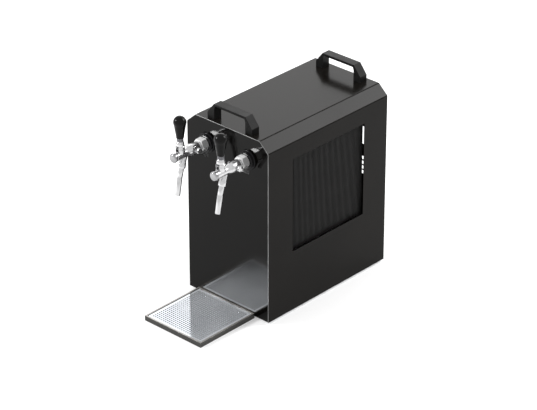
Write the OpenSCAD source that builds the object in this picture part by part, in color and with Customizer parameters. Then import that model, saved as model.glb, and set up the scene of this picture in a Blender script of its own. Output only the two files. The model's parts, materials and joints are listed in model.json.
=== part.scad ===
// Table-top beer cooler with two lever taps, a drip tray and two carrying handles.
// X runs to the right as seen from the taps, Y to the rear, Z up, and the floor is Z = 0.
// Pieces are drawn about the middle of the cabinet. seated() then centres the object on the origin.

/* [Cabinet] */
// Width of the cabinet
body_w = 240; // [232:1:280]
// Depth of the cabinet
body_d = 386; // [380:1:430]
// Height of the cabinet without its feet
body_h = 437; // [430:1:480]
// Width of the slanted long top edges
slant_w = 25.5; // [18:0.5:30]
// Height of the slanted long top edges
slant_h = 23; // [16:0.5:30]
// Thickness of the cover, panels and base
sheet_t = 1.2; // [0.8:0.1:1.6]
// How far the front and rear panels lie inside the cover's ends
panel_inset = 1; // [0.5:0.1:2]
// Height of the base pan's turned-up edge
pan_edge_h = 18; // [12:1:22]
// Height of the feet
foot_h = 5; // [4:0.5:12]
// Diameter of a foot
foot_d = 30; // [20:1:36]
// Distance of a foot's centre from the cabinet's sides
foot_edge = 30; // [24:1:40]

/* [Grille cut-out in the right side] */
// Length of the cut-out along the cabinet's depth
grille_w = 232; // [200:1:240]
// Height of the cut-out
grille_h = 226; // [190:1:232]
// Distance of the cut-out's lower edge from the cabinet's bottom edge
grille_rise = 147; // [140:1:152]
// Distance of the cut-out's front edge from the cabinet's front edge
grille_back = 78; // [74:1:84]

/* [Carrying handles] */
// Width of a handle across the cabinet
handle_w = 131; // [120:1:150]
// Depth of a handle
handle_d = 22; // [18:0.5:26]
// Height of a handle
handle_h = 37.5; // [34:0.5:50]
// Width of a handle's leg
handle_leg = 20; // [16:0.5:24]
// Thickness of the grip bar
handle_bar = 10.5; // [8:0.5:12]
// Height of the grip bar's straight edge above its rounded underside
handle_lip = 4; // [3:0.5:6]
// Width of the slanted shoulder
shoulder_w = 19; // [14:0.5:22]
// Height of the slanted shoulder
shoulder_h = 24; // [18:0.5:26]
// Distance of a handle from the cabinet's front or rear edge
handle_edge = 8; // [4:0.5:16]
// Diameter of a handle screw
handle_screw_d = 4; // [3:0.5:5]

/* [Taps] */
// Distance between the two taps as a share of the cabinet's width
tap_span_share = 0.5; // [0.46:0.01:0.54]
// Height of the taps' axis above the cabinet's bottom edge
tap_rise = 381; // [376:1:386]
// Diameter of the rosette against the front panel
rosette_d = 46; // [42:1:54]
// Thickness of the rosette
rosette_t = 10; // [8:0.5:14]
// Outer diameter of the threaded shank
shank_d = 16; // [14:0.5:17]
// Length of the shank behind the panel
shank_tail = 38; // [34:1:40]
// Size across the flats of the coupling nut
coupling_af = 29; // [26:0.5:32]
// Length of the coupling nut
coupling_len = 18; // [14:0.5:22]
// Diameter of the tap body's rear barrel
barrel_d = 25.5; // [24:0.5:28]
// Length of the rear barrel
barrel_len = 28; // [26:0.5:32]
// Length of the cone between the rear barrel and the front barrel
cone_len = 12; // [8:0.5:16]
// Diameter of the front barrel
nose_d = 19; // [18:0.5:21]
// Length of the front barrel
nose_len = 32; // [31:0.5:36]
// Diameter of the end cap
cap_d = 21.5; // [20:0.5:24]
// Length of the end cap
cap_len = 8; // [6:0.5:10]
// Diameter of the valve piston
piston_d = 8; // [8:0.1:8.4]
// Length of the valve piston
piston_len = 36; // [34:0.5:38]
// Distance of the lever's pivot from the front barrel's front end
pivot_back = 17; // [15:0.5:18]
// Height of the lever's pivot above the tap's axis
pivot_h = 14; // [13.5:0.1:15]
// Diameter of the bonnet
bonnet_d = 21; // [20:0.5:22]
// Radius of the bonnet's dome about the lever's pivot
bonnet_dome_r = 13; // [12:0.1:14]
// Diameter of the lever's bell over the bonnet's dome
bell_d = 18.5; // [16:0.5:20]
// Diameter of the lever's stem
stem_d = 8; // [7:0.5:8.5]
// Diameter of the lever's ferrule under the knob
ferrule_d = 15; // [12:0.5:17]
// Height of the ferrule's lower end above the tap's axis
ferrule_rise = 33; // [32:0.5:36]
// Length of the ferrule
ferrule_len = 9; // [7:0.5:12]
// Length of the knob
knob_len = 51; // [45:1:60]
// Largest diameter of the knob
knob_d = 29; // [26:0.5:32]
// Diameter of the knob's lower end
knob_foot_d = 17.5; // [16:0.5:20]
// Length of the flow lever from its shaft to its tip
flow_reach = 33; // [30:0.5:34]
// Angle of the flow lever below the horizontal at rest
flow_tilt = 37; // [36:1:60]
// Diameter of the flow lever's shaft
flow_shaft_d = 6; // [5:0.5:7]
// Diameter of the spout adapter
adapter_d = 17; // [15:0.5:18]
// Length of the spout adapter below the barrel
adapter_len = 23; // [21:0.5:28]
// Angle by which the spout adapter leans forward
adapter_lean = 16; // [14:0.5:18]
// Outer diameter of the spout
spout_d = 12; // [11:0.5:13]
// Diameter of the spout's neck inside its adapter
spout_neck_d = 11; // [10.5:0.1:12]
// Bore of the spout
spout_bore = 9; // [8:0.1:9.5]
// Length of the spout below its bend
spout_len = 42.5; // [36:0.5:50]
// Angle by which the spout leans forward below its bend
spout_lean = 11; // [8:0.5:13]

/* [Drip tray] */
// Width of the tray across the cabinet
tray_w = 170; // [150:1:190]
// Depth of the tray
tray_d = 169.7; // [150:0.1:185]
// Height of the tray
tray_h = 12.3; // [11:0.1:16]
// Width of the tray's rim
tray_rim = 4; // [3:0.5:6]
// Thickness of the tray's walls
tray_t = 1; // [0.8:0.1:1.5]
// Distance of the tray's middle to the left of the cabinet's middle
tray_left = 7; // [0:0.5:12]
// Size of a square hole in the grid
mesh_hole = 7; // [4:0.1:8]
// Distance between the rows of holes
mesh_pitch = 10; // [9.4:0.1:14]
// Thickness of the grid
grid_t = 1; // [0.8:0.1:1.5]

/* [Cooling parts] */
// Thickness of the condenser
condenser_t = 26; // [20:0.5:30]
// Distance between the condenser's fins
fin_pitch = 4; // [3.6:0.1:6]
// Thickness of a condenser fin
fin_t = 0.8; // [0.5:0.1:1.2]
// Depth of the condenser's face behind the cut-out
recess = 7; // [6:0.5:9]
// Diameter of the condenser's tube
condenser_pipe_d = 8; // [6:0.5:9]
// Diameter of the fan rotor
fan_d = 170; // [150:1:180]
// Number of fan blades
fan_blades = 5; // [4:1:7]
// Diameter of the compressor
compressor_d = 112; // [100:1:116]
// Height of the compressor's body
compressor_h = 138; // [120:1:142]
// Depth of the cooling block
block_d = 150; // [130:1:156]
// Height of the cooling block
block_h = 190; // [178:1:198]
// Wall of the insulation round the cooling block
foam_t = 16; // [14:0.5:17]
// Height of the shelf under the insulation
shelf_rise = 200; // [197:1:204]
// Diameter of the beer lines
line_d = 8; // [7:0.5:9]
// Wall of the beer lines
line_t = 1; // [0.8:0.1:1.5]

/* [Rear connections] */
// Outer diameter of a beer inlet tail
tail_d = 9; // [8:0.5:10]
// Free length of a beer inlet tail
tail_len = 16; // [12:0.5:22]
// Diameter of the thermostat's knob
dial_d = 28; // [24:0.5:34]
// Height of the thermostat's knob
dial_h = 13; // [10:0.5:15]
// Width of the rocker switch's opening
switch_w = 13; // [11:0.5:15]
// Height of the rocker switch's opening
switch_h = 22; // [20:0.5:26]
// Width of the mains inlet's opening
inlet_w = 27; // [25:0.5:30]
// Height of the mains inlet's opening
inlet_h = 20; // [18:0.5:22]

/* [Hidden] */
$fn = 48;

// Cutting overrun, and the gaps of the fits
cut = 1;
running = 0.05;
seat_gap = 0.3;

// Colours
black_sheet = [0.17, 0.165, 0.155];
black_plastic = [0.13, 0.13, 0.13];
chrome = [0.8, 0.8, 0.82];
steel = [0.72, 0.73, 0.75];
copper = [0.72, 0.45, 0.3];
rubber = [0.1, 0.1, 0.1];
white_plastic = [0.85, 0.86, 0.86];

// Planes of the cabinet
cover_top = foot_h + body_h;
front_y = -body_d / 2;
rear_y = body_d / 2;
front_face = front_y + panel_inset;
front_back = front_face + sheet_t;
rear_face = rear_y - panel_inset;
rear_inner = rear_face - sheet_t;
inner_x = body_w / 2 - sheet_t;
pan_top = foot_h + sheet_t;
tap_z = foot_h + tap_rise;
tap_x = body_w * tap_span_share / 2;

// Reach of the object in front of the cabinet and behind it, which centres it on the origin
front_reach = tray_d + seat_gap - panel_inset;
dial_gap = seat_gap;
rear_reach = max(tail_len, dial_h + dial_gap) - panel_inset;
centre_y = (rear_reach - front_reach) / 2;

// Centres the object's outline on the origin.
module seated() translate([0, -centre_y, 0]) children();

// A box between two opposite corners.
module block(low, high) translate(low) cube(high - low);

// A round bar from a point along +X, +Y or +Z.
module bar_x(at, d, len) translate(at) rotate([0, 90, 0]) cylinder(d = d, h = len);
module bar_y(at, d, len) translate(at) rotate([-90, 0, 0]) cylinder(d = d, h = len);
module bar_z(at, d, len) translate(at) cylinder(d = d, h = len);

// A tube from a point along +Y.
module tube_y(at, d, bore, len) {
    difference() {
        bar_y(at, d, len);
        bar_y(at - [0, cut, 0], bore, len + 2 * cut);
    }
}

// A hexagonal prism from a point along +Y, measured across its flats.
module hex_y(at, across, len) {
    translate(at) rotate([-90, 0, 0]) rotate(30) cylinder(d = across / cos(30), h = len, $fn = 6);
}

// A pipe through a list of points, with a ball joint a little thicker than the pipe at each bend.
joint_share = 1.2;
module pipe(points, d) {
    for (i = [0 : len(points) - 2]) {
        along = points[i + 1] - points[i];
        translate(points[i])
            rotate([0, acos(along.z / norm(along)), atan2(along.y, along.x)])
            cylinder(d = d, h = norm(along), $fn = 24);
    }
    for (i = [1 : len(points) - 2]) translate(points[i]) sphere(d = d * joint_share, $fn = 24);
}

// Outline of the cabinet's section, drawn inset by a margin.
module cabinet_section(margin, bottom) {
    half = body_w / 2 - margin;
    top = cover_top - margin;
    slope = norm([slant_w, slant_h]);
    // a slanted edge moved square to itself keeps its angle
    run_w = slant_w - margin + margin * (slope - slant_w) / slant_h;
    run_h = slant_h - margin + margin * (slope - slant_h) / slant_w;
    polygon([
        [-half, bottom], [half, bottom], [half, top - run_h], [half - run_w, top],
        [-half + run_w, top], [-half, top - run_h]
    ]);
}

// Stands an outline in X and Z up along Y.
module along_depth(y0, y1) translate([0, y1, 0]) rotate([90, 0, 0]) linear_extrude(y1 - y0) children();

/* Cabinet */
grille_y0 = front_y + grille_back;
grille_z0 = foot_h + grille_rise;
module cabinet_cover() {
    color(black_sheet) difference() {
        along_depth(front_y, rear_y) difference() {
            cabinet_section(0, foot_h);
            cabinet_section(sheet_t, foot_h - cut);
        }
        block([inner_x - cut, grille_y0, grille_z0],
              [body_w / 2 + cut, grille_y0 + grille_w, grille_z0 + grille_h]);
        for (y = handle_ys, side = [-1, 1])
            bar_z([side * handle_screw_x, y, cover_top - sheet_t - cut],
                  handle_screw_d + 2 * running, sheet_t + 2 * cut);
    }
}

module front_panel() {
    color(black_sheet) difference() {
        along_depth(front_face, front_back) cabinet_section(sheet_t, foot_h);
        for (side = [-1, 1])
            bar_y([side * tap_x, front_face - cut, tap_z], shank_d + 2 * running, sheet_t + 2 * cut);
    }
}

// The rear panel's air opening and the small slots under it
vent_side = 90;
vent_x = body_w / 2 - vent_side;
vent_w = 54;
vent_rise = 272;
vent_z = foot_h + vent_rise;
vent_h = 44;
slot_h = 8.5;
slot_pitch = 12;
slot_count = 4;
slot_drop = 39;
screw_d = 4;
screw_head_d = 8;
screw_head_h = 2.2;
screw_grip = 8;
screw_edge = 14;
panel_screw_x = body_w / 2 - screw_edge;
panel_screw_zs = [foot_h + pan_edge_h / 2, foot_h + body_h / 2, cover_top - slant_h - screw_edge];
module rear_panel() {
    color(black_sheet) difference() {
        along_depth(rear_inner, rear_face) cabinet_section(sheet_t, foot_h);
        block([vent_x, rear_inner - cut, vent_z], [vent_x + vent_w, rear_face + cut, vent_z + vent_h]);
        for (i = [0 : slot_count - 1]) {
            slot_z = vent_z - slot_drop - i * slot_pitch;
            block([vent_x, rear_inner - cut, slot_z], [vent_x + vent_w, rear_face + cut, slot_z + slot_h]);
        }
        for (at = [[beer_xs[0], tap_z], [beer_xs[1], tap_z], [air_x, air_z]])
            bar_y([at.x, rear_inner - cut, at.y], tail_neck_d + 2 * running, sheet_t + 2 * cut);
        bar_y([dial_x, rear_inner - cut, dial_z], dial_neck_d + 2 * running, sheet_t + 2 * cut);
        block([switch_x - switch_w / 2, rear_inner - cut, dial_z - switch_h / 2],
              [switch_x + switch_w / 2, rear_face + cut, dial_z + switch_h / 2]);
        block([mains_x - inlet_w / 2, rear_inner - cut, mains_z - inlet_h / 2],
              [mains_x + inlet_w / 2, rear_face + cut, mains_z + inlet_h / 2]);
        for (side = [-1, 1], z = panel_screw_zs)
            bar_y([side * panel_screw_x, rear_inner - cut, z], screw_d + 2 * running, sheet_t + 2 * cut);
    }
}

module rear_panel_screws() {
    color(steel) for (side = [-1, 1], z = panel_screw_zs) {
        bar_y([side * panel_screw_x, rear_face, z], screw_head_d, screw_head_h);
        bar_y([side * panel_screw_x, rear_face - screw_grip, z], screw_d, screw_grip);
    }
}

module base_pan() {
    color(steel) difference() {
        block([-inner_x, front_back, foot_h], [inner_x, rear_inner, foot_h + pan_edge_h]);
        block([-inner_x + sheet_t, front_back + sheet_t, pan_top],
              [inner_x - sheet_t, rear_inner - sheet_t, foot_h + pan_edge_h + cut]);
        for (side = [-1, 1])
            bar_y([side * panel_screw_x, rear_inner - sheet_t - cut, panel_screw_zs[0]],
                  screw_d + 2 * running, sheet_t + 2 * cut);
    }
}

module feet() {
    color(rubber) for (sx = [-1, 1], sy = [-1, 1])
        translate([sx * (body_w / 2 - foot_edge), sy * (body_d / 2 - foot_edge), 0])
        cylinder(d1 = foot_d - foot_h, d2 = foot_d, h = foot_h);
}

/* Handles */
handle_ys = [front_y + handle_edge + handle_d / 2, rear_y - handle_edge - handle_d / 2];
handle_screw_x = handle_w / 2 - handle_leg / 2;
handle_screw_grip = 12;
handle_screw_head_d = 8;
handle_screw_head_h = 2.5;
handle_corner = 3;
// Radius of the rounded underside that meets the lip at both edges
bar_curve = (pow(handle_d / 2, 2) + pow(handle_bar - handle_lip, 2)) / (2 * (handle_bar - handle_lip));
module handle(y) {
    half = handle_w / 2;
    gap = half - handle_leg;
    color(black_plastic) translate([0, y, cover_top]) difference() {
        union() {
            // the two legs with their slanted shoulders
            for (side = [-1, 1]) scale([side, 1, 1])
                translate([0, handle_d / 2, 0]) rotate([90, 0, 0]) linear_extrude(handle_d)
                polygon([
                    [gap, 0], [half, 0], [half, handle_h - shoulder_h], [half - shoulder_w, handle_h],
                    [gap - handle_corner, handle_h], [gap - handle_corner, handle_h - handle_lip],
                    [gap, handle_h - handle_bar - handle_corner]
                ]);
            // the grip bar, flat on top and rounded below
            translate([-gap, 0, handle_h]) rotate([90, 0, 90]) linear_extrude(2 * gap) intersection() {
                translate([-handle_d / 2, -handle_bar]) square([handle_d, handle_bar]);
                translate([0, bar_curve - handle_bar]) circle(r = bar_curve, $fn = 96);
            }
        }
        for (side = [-1, 1])
            bar_z([side * handle_screw_x, 0, -cut], handle_screw_d + 2 * running,
                  handle_screw_grip + 2 * cut);
    }
}
module front_handle() handle(handle_ys[0]);
module rear_handle() handle(handle_ys[1]);

module handle_screws() {
    color(steel) for (y = handle_ys, side = [-1, 1]) {
        bar_z([side * handle_screw_x, y, cover_top - sheet_t], handle_screw_d, handle_screw_grip);
        bar_z([side * handle_screw_x, y, cover_top - sheet_t - handle_screw_head_h],
              handle_screw_head_d, handle_screw_head_h);
    }
}

/* Taps: each piece is drawn with the shank's axis along Y and the panel's face at Y = 0 */
coupling_y = -rosette_t - coupling_len;
barrel_y = coupling_y - barrel_len;
nose_y = barrel_y - cone_len - nose_len;
shank_thread = coupling_len / 2;
pivot_y = nose_y + pivot_back;
flow_y = barrel_y + barrel_len / 2;
module at_tap(side) translate([side * tap_x, front_face, tap_z]) children();

rosette_rim_t = 4;
rosette_step = 2.5;
module rosette() {
    color(black_plastic) difference() {
        union() {
            bar_y([0, -rosette_rim_t, 0], rosette_d, rosette_rim_t);
            bar_y([0, -rosette_t, 0], rosette_d - 2 * rosette_step, rosette_t - rosette_rim_t);
        }
        bar_y([0, -rosette_t - cut, 0], shank_d + 2 * running, rosette_t + 2 * cut);
    }
}

module tap_shanks() {
    color(chrome) for (side = [-1, 1]) at_tap(side)
        tube_y([0, -rosette_t - shank_thread, 0], shank_d, line_d + 2 * running,
               rosette_t + shank_thread + shank_tail);
}

lock_nut_af = 24;
lock_nut_len = 6;
module shank_lock_nuts() {
    color(steel) for (side = [-1, 1]) at_tap(side) difference() {
        hex_y([0, sheet_t, 0], lock_nut_af, lock_nut_len);
        bar_y([0, sheet_t - cut, 0], shank_d + 2 * running, lock_nut_len + 2 * cut);
    }
}

module coupling_nuts() {
    color(chrome) for (side = [-1, 1]) at_tap(side) difference() {
        hex_y([0, coupling_y, 0], coupling_af, coupling_len);
        bar_y([0, coupling_y - cut, 0], shank_d + 2 * running, coupling_len + 2 * cut);
    }
}

port_w = 6;
module tap_body() {
    color(chrome) difference() {
        union() {
            bar_y([0, barrel_y, 0], barrel_d, barrel_len);
            translate([0, barrel_y, 0]) rotate([90, 0, 0])
                cylinder(d1 = barrel_d, d2 = nose_d, h = cone_len, $fn = 48);
            bar_y([0, nose_y, 0], nose_d, nose_len);
            // the spigot that the coupling nut holds against the shank
            bar_y([0, coupling_y, 0], shank_d, coupling_len - shank_thread);
        }
        bar_y([0, nose_y - cut, 0], piston_d + 2 * running, cut - nose_y);
        bar_x([-barrel_d / 2 - cut, flow_y, 0], flow_shaft_d + 2 * running, barrel_d + 2 * cut);
        // the slot under the bonnet that lets the lever's finger swing
        block([-port_w / 2, pivot_y - pivot_h / 2, 0],
              [port_w / 2, pivot_y + pivot_h / 2 + stem_d / 2, nose_d / 2 + cut]);
        // the outlet down into the spout
        spout_turn() bar_z([0, 0, -nose_d], spout_bore, nose_d);
    }
}

// The lower part of the tap leans forward about a point on the axis, and the spout bends under its adapter.
spout_back = 12;
spout_y = pivot_y + spout_back;
spout_mouth = -nose_d / 2 - adapter_len;
bend_drop = 21;
module spout_turn() translate([0, spout_y, 0]) rotate([-adapter_lean, 0, 0]) children();
module spout_drop() {
    spout_turn() translate([0, 0, spout_mouth - bend_drop])
        rotate([adapter_lean - spout_lean, 0, 0]) children();
}

cap_dome = 3;
module end_cap() {
    color(chrome) translate([0, nose_y, 0]) rotate([90, 0, 0]) {
        cylinder(d = cap_d, h = cap_len - cap_dome);
        translate([0, 0, cap_len - cap_dome]) cylinder(d1 = cap_d, d2 = cap_d - 2 * cap_dome,
                                                       h = cap_dome, $fn = 48);
    }
}

bonnet_wall = 2.6;
bonnet_foot_share = 0.3;
bonnet_foot = nose_d * bonnet_foot_share;
bonnet_shoulder = pivot_h + sqrt(pow(bonnet_dome_r, 2) - pow(bonnet_d / 2, 2));
bonnet_ring = 1.2;
bonnet_rings = 2;
pin_d = 3;
module bonnet() {
    bonnet_top = pivot_h + bonnet_dome_r;
    color(chrome) difference() {
        // a round body whose top is a dome about the lever's pivot
        translate([0, pivot_y, 0]) rotate_extrude($fn = 64) intersection() {
            translate([0, bonnet_foot]) square([bonnet_d / 2, bonnet_top]);
            union() {
                square([bonnet_d / 2, pivot_h]);
                translate([0, pivot_h]) circle(r = bonnet_dome_r, $fn = 96);
            }
        }
        bar_y([0, pivot_y - bonnet_d, 0], nose_d + 2 * running, 2 * bonnet_d);
        bar_z([0, pivot_y, -cut], bonnet_d - 2 * bonnet_wall, bonnet_top + 2 * cut);
        // the slot in which the lever swings forward and back
        block([-stem_d / 2 - seat_gap, pivot_y - bonnet_d, pivot_h - stem_d / 2],
              [stem_d / 2 + seat_gap, pivot_y + bonnet_d, bonnet_top + cut]);
        bar_x([-bonnet_d / 2 - cut, pivot_y, pivot_h], pin_d, bonnet_d + 2 * cut);
        // the turned rings under its shoulder
        for (i = [1 : bonnet_rings]) translate([0, pivot_y,
                                                bonnet_shoulder - 2 * i * bonnet_ring]) difference() {
            cylinder(d = bonnet_d + cut, h = bonnet_ring);
            translate([0, 0, -cut]) cylinder(d = bonnet_d - bonnet_ring, h = bonnet_ring + 2 * cut);
        }
    }
}

module lever_pins() {
    color(steel) for (side = [-1, 1]) at_tap(side)
        bar_x([-bonnet_d / 2 + bonnet_wall / 2, pivot_y, pivot_h], pin_d, bonnet_d - bonnet_wall);
}

finger_ball = 5;
finger_d = 2.2;
lever_eye_d = 10;
module lever() {
    color(chrome) difference() {
        translate([0, pivot_y, 0]) union() {
            translate([0, 0, pivot_h]) sphere(d = lever_eye_d, $fn = 48);
            cylinder(d = finger_d, h = pivot_h);
            sphere(d = finger_ball, $fn = 32);
            translate([0, 0, pivot_h]) cylinder(d = stem_d, h = ferrule_rise - pivot_h);
            // the bell, whose hollow underside glides over the bonnet's dome
            translate([0, 0, pivot_h]) difference() {
                cylinder(d = bell_d, h = ferrule_rise - pivot_h);
                sphere(r = bonnet_dome_r + seat_gap, $fn = 96);
            }
            translate([0, 0, ferrule_rise]) cylinder(d = ferrule_d, h = ferrule_len);
        }
        bar_x([-lever_eye_d, pivot_y, pivot_h], pin_d + 2 * running, 2 * lever_eye_d);
    }
}

// Half outline of the knob: a foot, a drawn-in neck and a round head
knob_rise = ferrule_rise + ferrule_len;
knob_neck_share = 0.14;
knob_side_angle = 20;
module knob() {
    head = knob_d / 2;
    head_z = knob_len - head;
    color(black_plastic) translate([0, pivot_y, knob_rise]) rotate_extrude($fn = 64) intersection() {
        square([knob_d, knob_len]);
        union() {
            translate([0, head_z]) circle(r = head, $fn = 64);
            polygon([[0, 0], [knob_foot_d / 2, 0], [knob_foot_d / 2, knob_len * knob_neck_share / 2],
                     [head * cos(knob_side_angle), head_z - head * sin(knob_side_angle)], [0, head_z]]);
        }
    }
}

pocket_w = finger_ball + 2 * seat_gap;
piston_front = 13;
module piston() {
    color(steel) difference() {
        bar_y([0, pivot_y - piston_front, 0], piston_d, piston_len);
        block([-pocket_w / 2, pivot_y - pocket_w / 2, -pocket_w / 2],
              [pocket_w / 2, pivot_y + pocket_w / 2, piston_d]);
    }
}

flow_plate_t = 4;
flow_tip_d = 8;
flow_hub_d = 13;
flow_dome_d = 13;
flow_dome_h = 4;
module flow_lever() {
    side_x = barrel_d / 2 + seat_gap;
    arm_x = max(barrel_d, coupling_af) / 2 + 2 * seat_gap;
    color(chrome) translate([0, flow_y, 0]) {
        bar_x([-side_x, 0, 0], flow_shaft_d, 2 * side_x);
        bar_x([side_x, 0, 0], flow_hub_d, arm_x - side_x + flow_plate_t);
        rotate([-flow_tilt, 0, 0]) {
            block([arm_x, 0, -flow_tip_d / 2],
                  [arm_x + flow_plate_t, flow_reach - flow_tip_d / 2, flow_tip_d / 2]);
            bar_x([arm_x, flow_reach - flow_tip_d / 2, 0], flow_tip_d, flow_plate_t);
        }
        // the domed nut on the shaft's far end
        bar_x([-side_x - flow_dome_h / 2, 0, 0], flow_dome_d, flow_dome_h / 2);
        translate([-side_x - flow_dome_h / 2, 0, 0]) rotate([0, -90, 0])
            cylinder(d1 = flow_dome_d, d2 = flow_dome_d / 2, h = flow_dome_h, $fn = 32);
    }
}

spout_seat = 2;
collar_len = 10;
collar_step = 0.7;
module spout_adapter() {
    color(chrome) difference() {
        spout_turn() difference() {
            union() {
                bar_z([0, 0, spout_mouth], adapter_d, collar_len);
                bar_z([0, 0, spout_mouth], adapter_d - 2 * collar_step, -spout_mouth);
            }
            bar_z([0, 0, spout_mouth - cut], spout_neck_d + 2 * running, adapter_len + cut);
            bar_z([0, 0, spout_mouth], spout_bore, nose_d / 2 - spout_mouth);
        }
        // the saddle that sits against the barrels and the cone between them
        bar_y([0, nose_y - cut, 0], nose_d + 2 * running, nose_len + cut);
        translate([0, barrel_y, 0]) rotate([90, 0, 0])
            cylinder(d1 = barrel_d + 2 * running, d2 = nose_d + 2 * running, h = cone_len, $fn = 48);
        bar_y([0, barrel_y, 0], barrel_d + 2 * running, barrel_len);
    }
}

// The bend is a short neck between the tube's two straight lengths, and the two bores meet in it
neck_step = 0.3;
neck_gap = 1;
bore_step = 0.5;
bore_overlap = 2;
module spout() {
    color(chrome) difference() {
        union() {
            spout_turn() bar_z([0, 0, spout_mouth], spout_neck_d, adapter_len - spout_seat);
            spout_turn() bar_z([0, 0, spout_mouth - bend_drop + neck_gap], spout_d, bend_drop - neck_gap);
            spout_drop() sphere(d = spout_d - 2 * neck_step);
            spout_drop() bar_z([0, 0, -spout_len], spout_d, spout_len - neck_gap);
        }
        spout_turn() bar_z([0, 0, spout_mouth - bend_drop], spout_bore - 2 * bore_step,
                           bend_drop + adapter_len);
        spout_drop() bar_z([0, 0, -spout_len - cut], spout_bore, spout_len + cut + bore_overlap);
    }
}

/* Drip tray */
tray_x0 = -tray_left - tray_w / 2;
tray_y1 = front_face - seat_gap;
tray_y0 = tray_y1 - tray_d;
rim_t = 1;
grid_z = tray_h - rim_t - grid_t - seat_gap;
ledge = 3;
module drip_tray() {
    color(steel) difference() {
        block([tray_x0, tray_y0, 0], [tray_x0 + tray_w, tray_y1, tray_h]);
        // the well, and over it the wider seat of the grid
        block([tray_x0 + tray_rim + ledge, tray_y0 + tray_rim + ledge, tray_t],
              [tray_x0 + tray_w - tray_rim - ledge, tray_y1 - tray_rim - ledge, tray_h + cut]);
        block([tray_x0 + tray_rim, tray_y0 + tray_rim, grid_z],
              [tray_x0 + tray_w - tray_rim, tray_y1 - tray_rim, tray_h + cut]);
    }
}

grid_gap = 0.5;
module drip_grid() {
    inside_w = tray_w - 2 * (tray_rim + ledge) - mesh_pitch;
    inside_d = tray_d - 2 * (tray_rim + ledge) - mesh_pitch;
    nx = floor(inside_w / mesh_pitch);
    ny = floor(inside_d / mesh_pitch);
    color(steel) translate([tray_x0 + tray_w / 2, (tray_y0 + tray_y1) / 2, grid_z])
        linear_extrude(grid_t) difference() {
            square([tray_w - 2 * tray_rim - 2 * grid_gap, tray_d - 2 * tray_rim - 2 * grid_gap],
                   center = true);
            for (i = [0 : nx], j = [0 : ny])
                translate([(i - nx / 2) * mesh_pitch, (j - ny / 2) * mesh_pitch]) square(mesh_hole,
                                                                                         center = true);
        }
}

/* Condenser and fan on the right side */
condenser_margin = 4;
condenser_x1 = body_w / 2 - sheet_t - recess;
condenser_x0 = condenser_x1 - condenser_t;
condenser_y0 = grille_y0 - condenser_margin;
condenser_y1 = grille_y0 + grille_w + condenser_margin;
condenser_z0 = grille_z0 - condenser_margin;
condenser_z1 = grille_z0 + grille_h + condenser_margin;
fin_back = 1;
fin_count = floor((condenser_y1 - condenser_y0 - fin_t) / fin_pitch);
module condenser_fins() {
    // a comb in plan: a thin back sheet with upright fins that face the cut-out
    step = (condenser_y1 - condenser_y0 - fin_t) / fin_count;
    root_x = condenser_x0 + fin_back;
    gaps = [for (i = [0 : fin_count - 1], k = [0 : 3]) [
        k < 2 ? condenser_x1 : root_x,
        condenser_y0 + i * step + (k == 0 ? 0 : k == 3 ? step : fin_t)
    ]];
    ends = [[condenser_x1, condenser_y1 - fin_t], [condenser_x1, condenser_y1],
            [condenser_x0, condenser_y1], [condenser_x0, condenser_y0]];
    color(black_plastic) translate([0, 0, condenser_z0])
        linear_extrude(condenser_z1 - condenser_z0) polygon(concat(gaps, ends));
}

tube_rows = 9;
tube_margin = 20;
tube_x = condenser_x0 - condenser_pipe_d / 2;
tube_y0 = condenser_y0 + tube_margin;
tube_y1 = condenser_y1 - tube_margin;
tube_z0 = condenser_z0 + tube_margin;
tube_z1 = condenser_z1 - tube_margin;
module condenser_tube() {
    step = (tube_z1 - tube_z0) / (tube_rows - 1);
    color(copper) {
        for (i = [0 : tube_rows - 1])
            bar_y([tube_x, tube_y0, tube_z0 + i * step], condenser_pipe_d, tube_y1 - tube_y0);
        for (i = [0 : tube_rows - 2])
            translate([tube_x, i % 2 == 0 ? tube_y1 : tube_y0, tube_z0 + (i + 1 / 2) * step])
            rotate([i % 2 == 0 ? 0 : 180, 0, 0]) rotate([0, -90, 0])
            rotate_extrude(angle = 180) translate([step / 2, 0]) circle(d = condenser_pipe_d, $fn = 24);
    }
}

fan_gap = 4;
shroud_x1 = condenser_x0 - condenser_pipe_d - seat_gap;
shroud_x0 = shroud_x1 - sheet_t;
fan_y = (condenser_y0 + condenser_y1) / 2;
fan_z = (condenser_z0 + condenser_z1) / 2;
shroud_foot = 14;
module fan_shroud() {
    color(steel) difference() {
        union() {
            block([shroud_x0, condenser_y0, pan_top], [shroud_x1, condenser_y1, condenser_z1]);
            // side flanges that hold the condenser by its ends
            for (y = [condenser_y0 - sheet_t, condenser_y1])
                block([shroud_x0, y, condenser_z0], [condenser_x1 - recess, y + sheet_t, condenser_z1]);
            block([shroud_x1, condenser_y0, pan_top],
                  [shroud_x1 + shroud_foot, condenser_y1, pan_top + sheet_t]);
        }
        bar_x([shroud_x0 - cut, fan_y, fan_z], fan_d + 2 * fan_gap, sheet_t + 2 * cut);
        // the ways out for the condenser's two tube ends
        bar_y([tube_x, condenser_y0 - sheet_t - cut, tube_z0], condenser_pipe_d, sheet_t + 2 * cut);
        bar_y([tube_x, condenser_y1 - cut, tube_z1], condenser_pipe_d, sheet_t + 2 * cut);
    }
}

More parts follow.
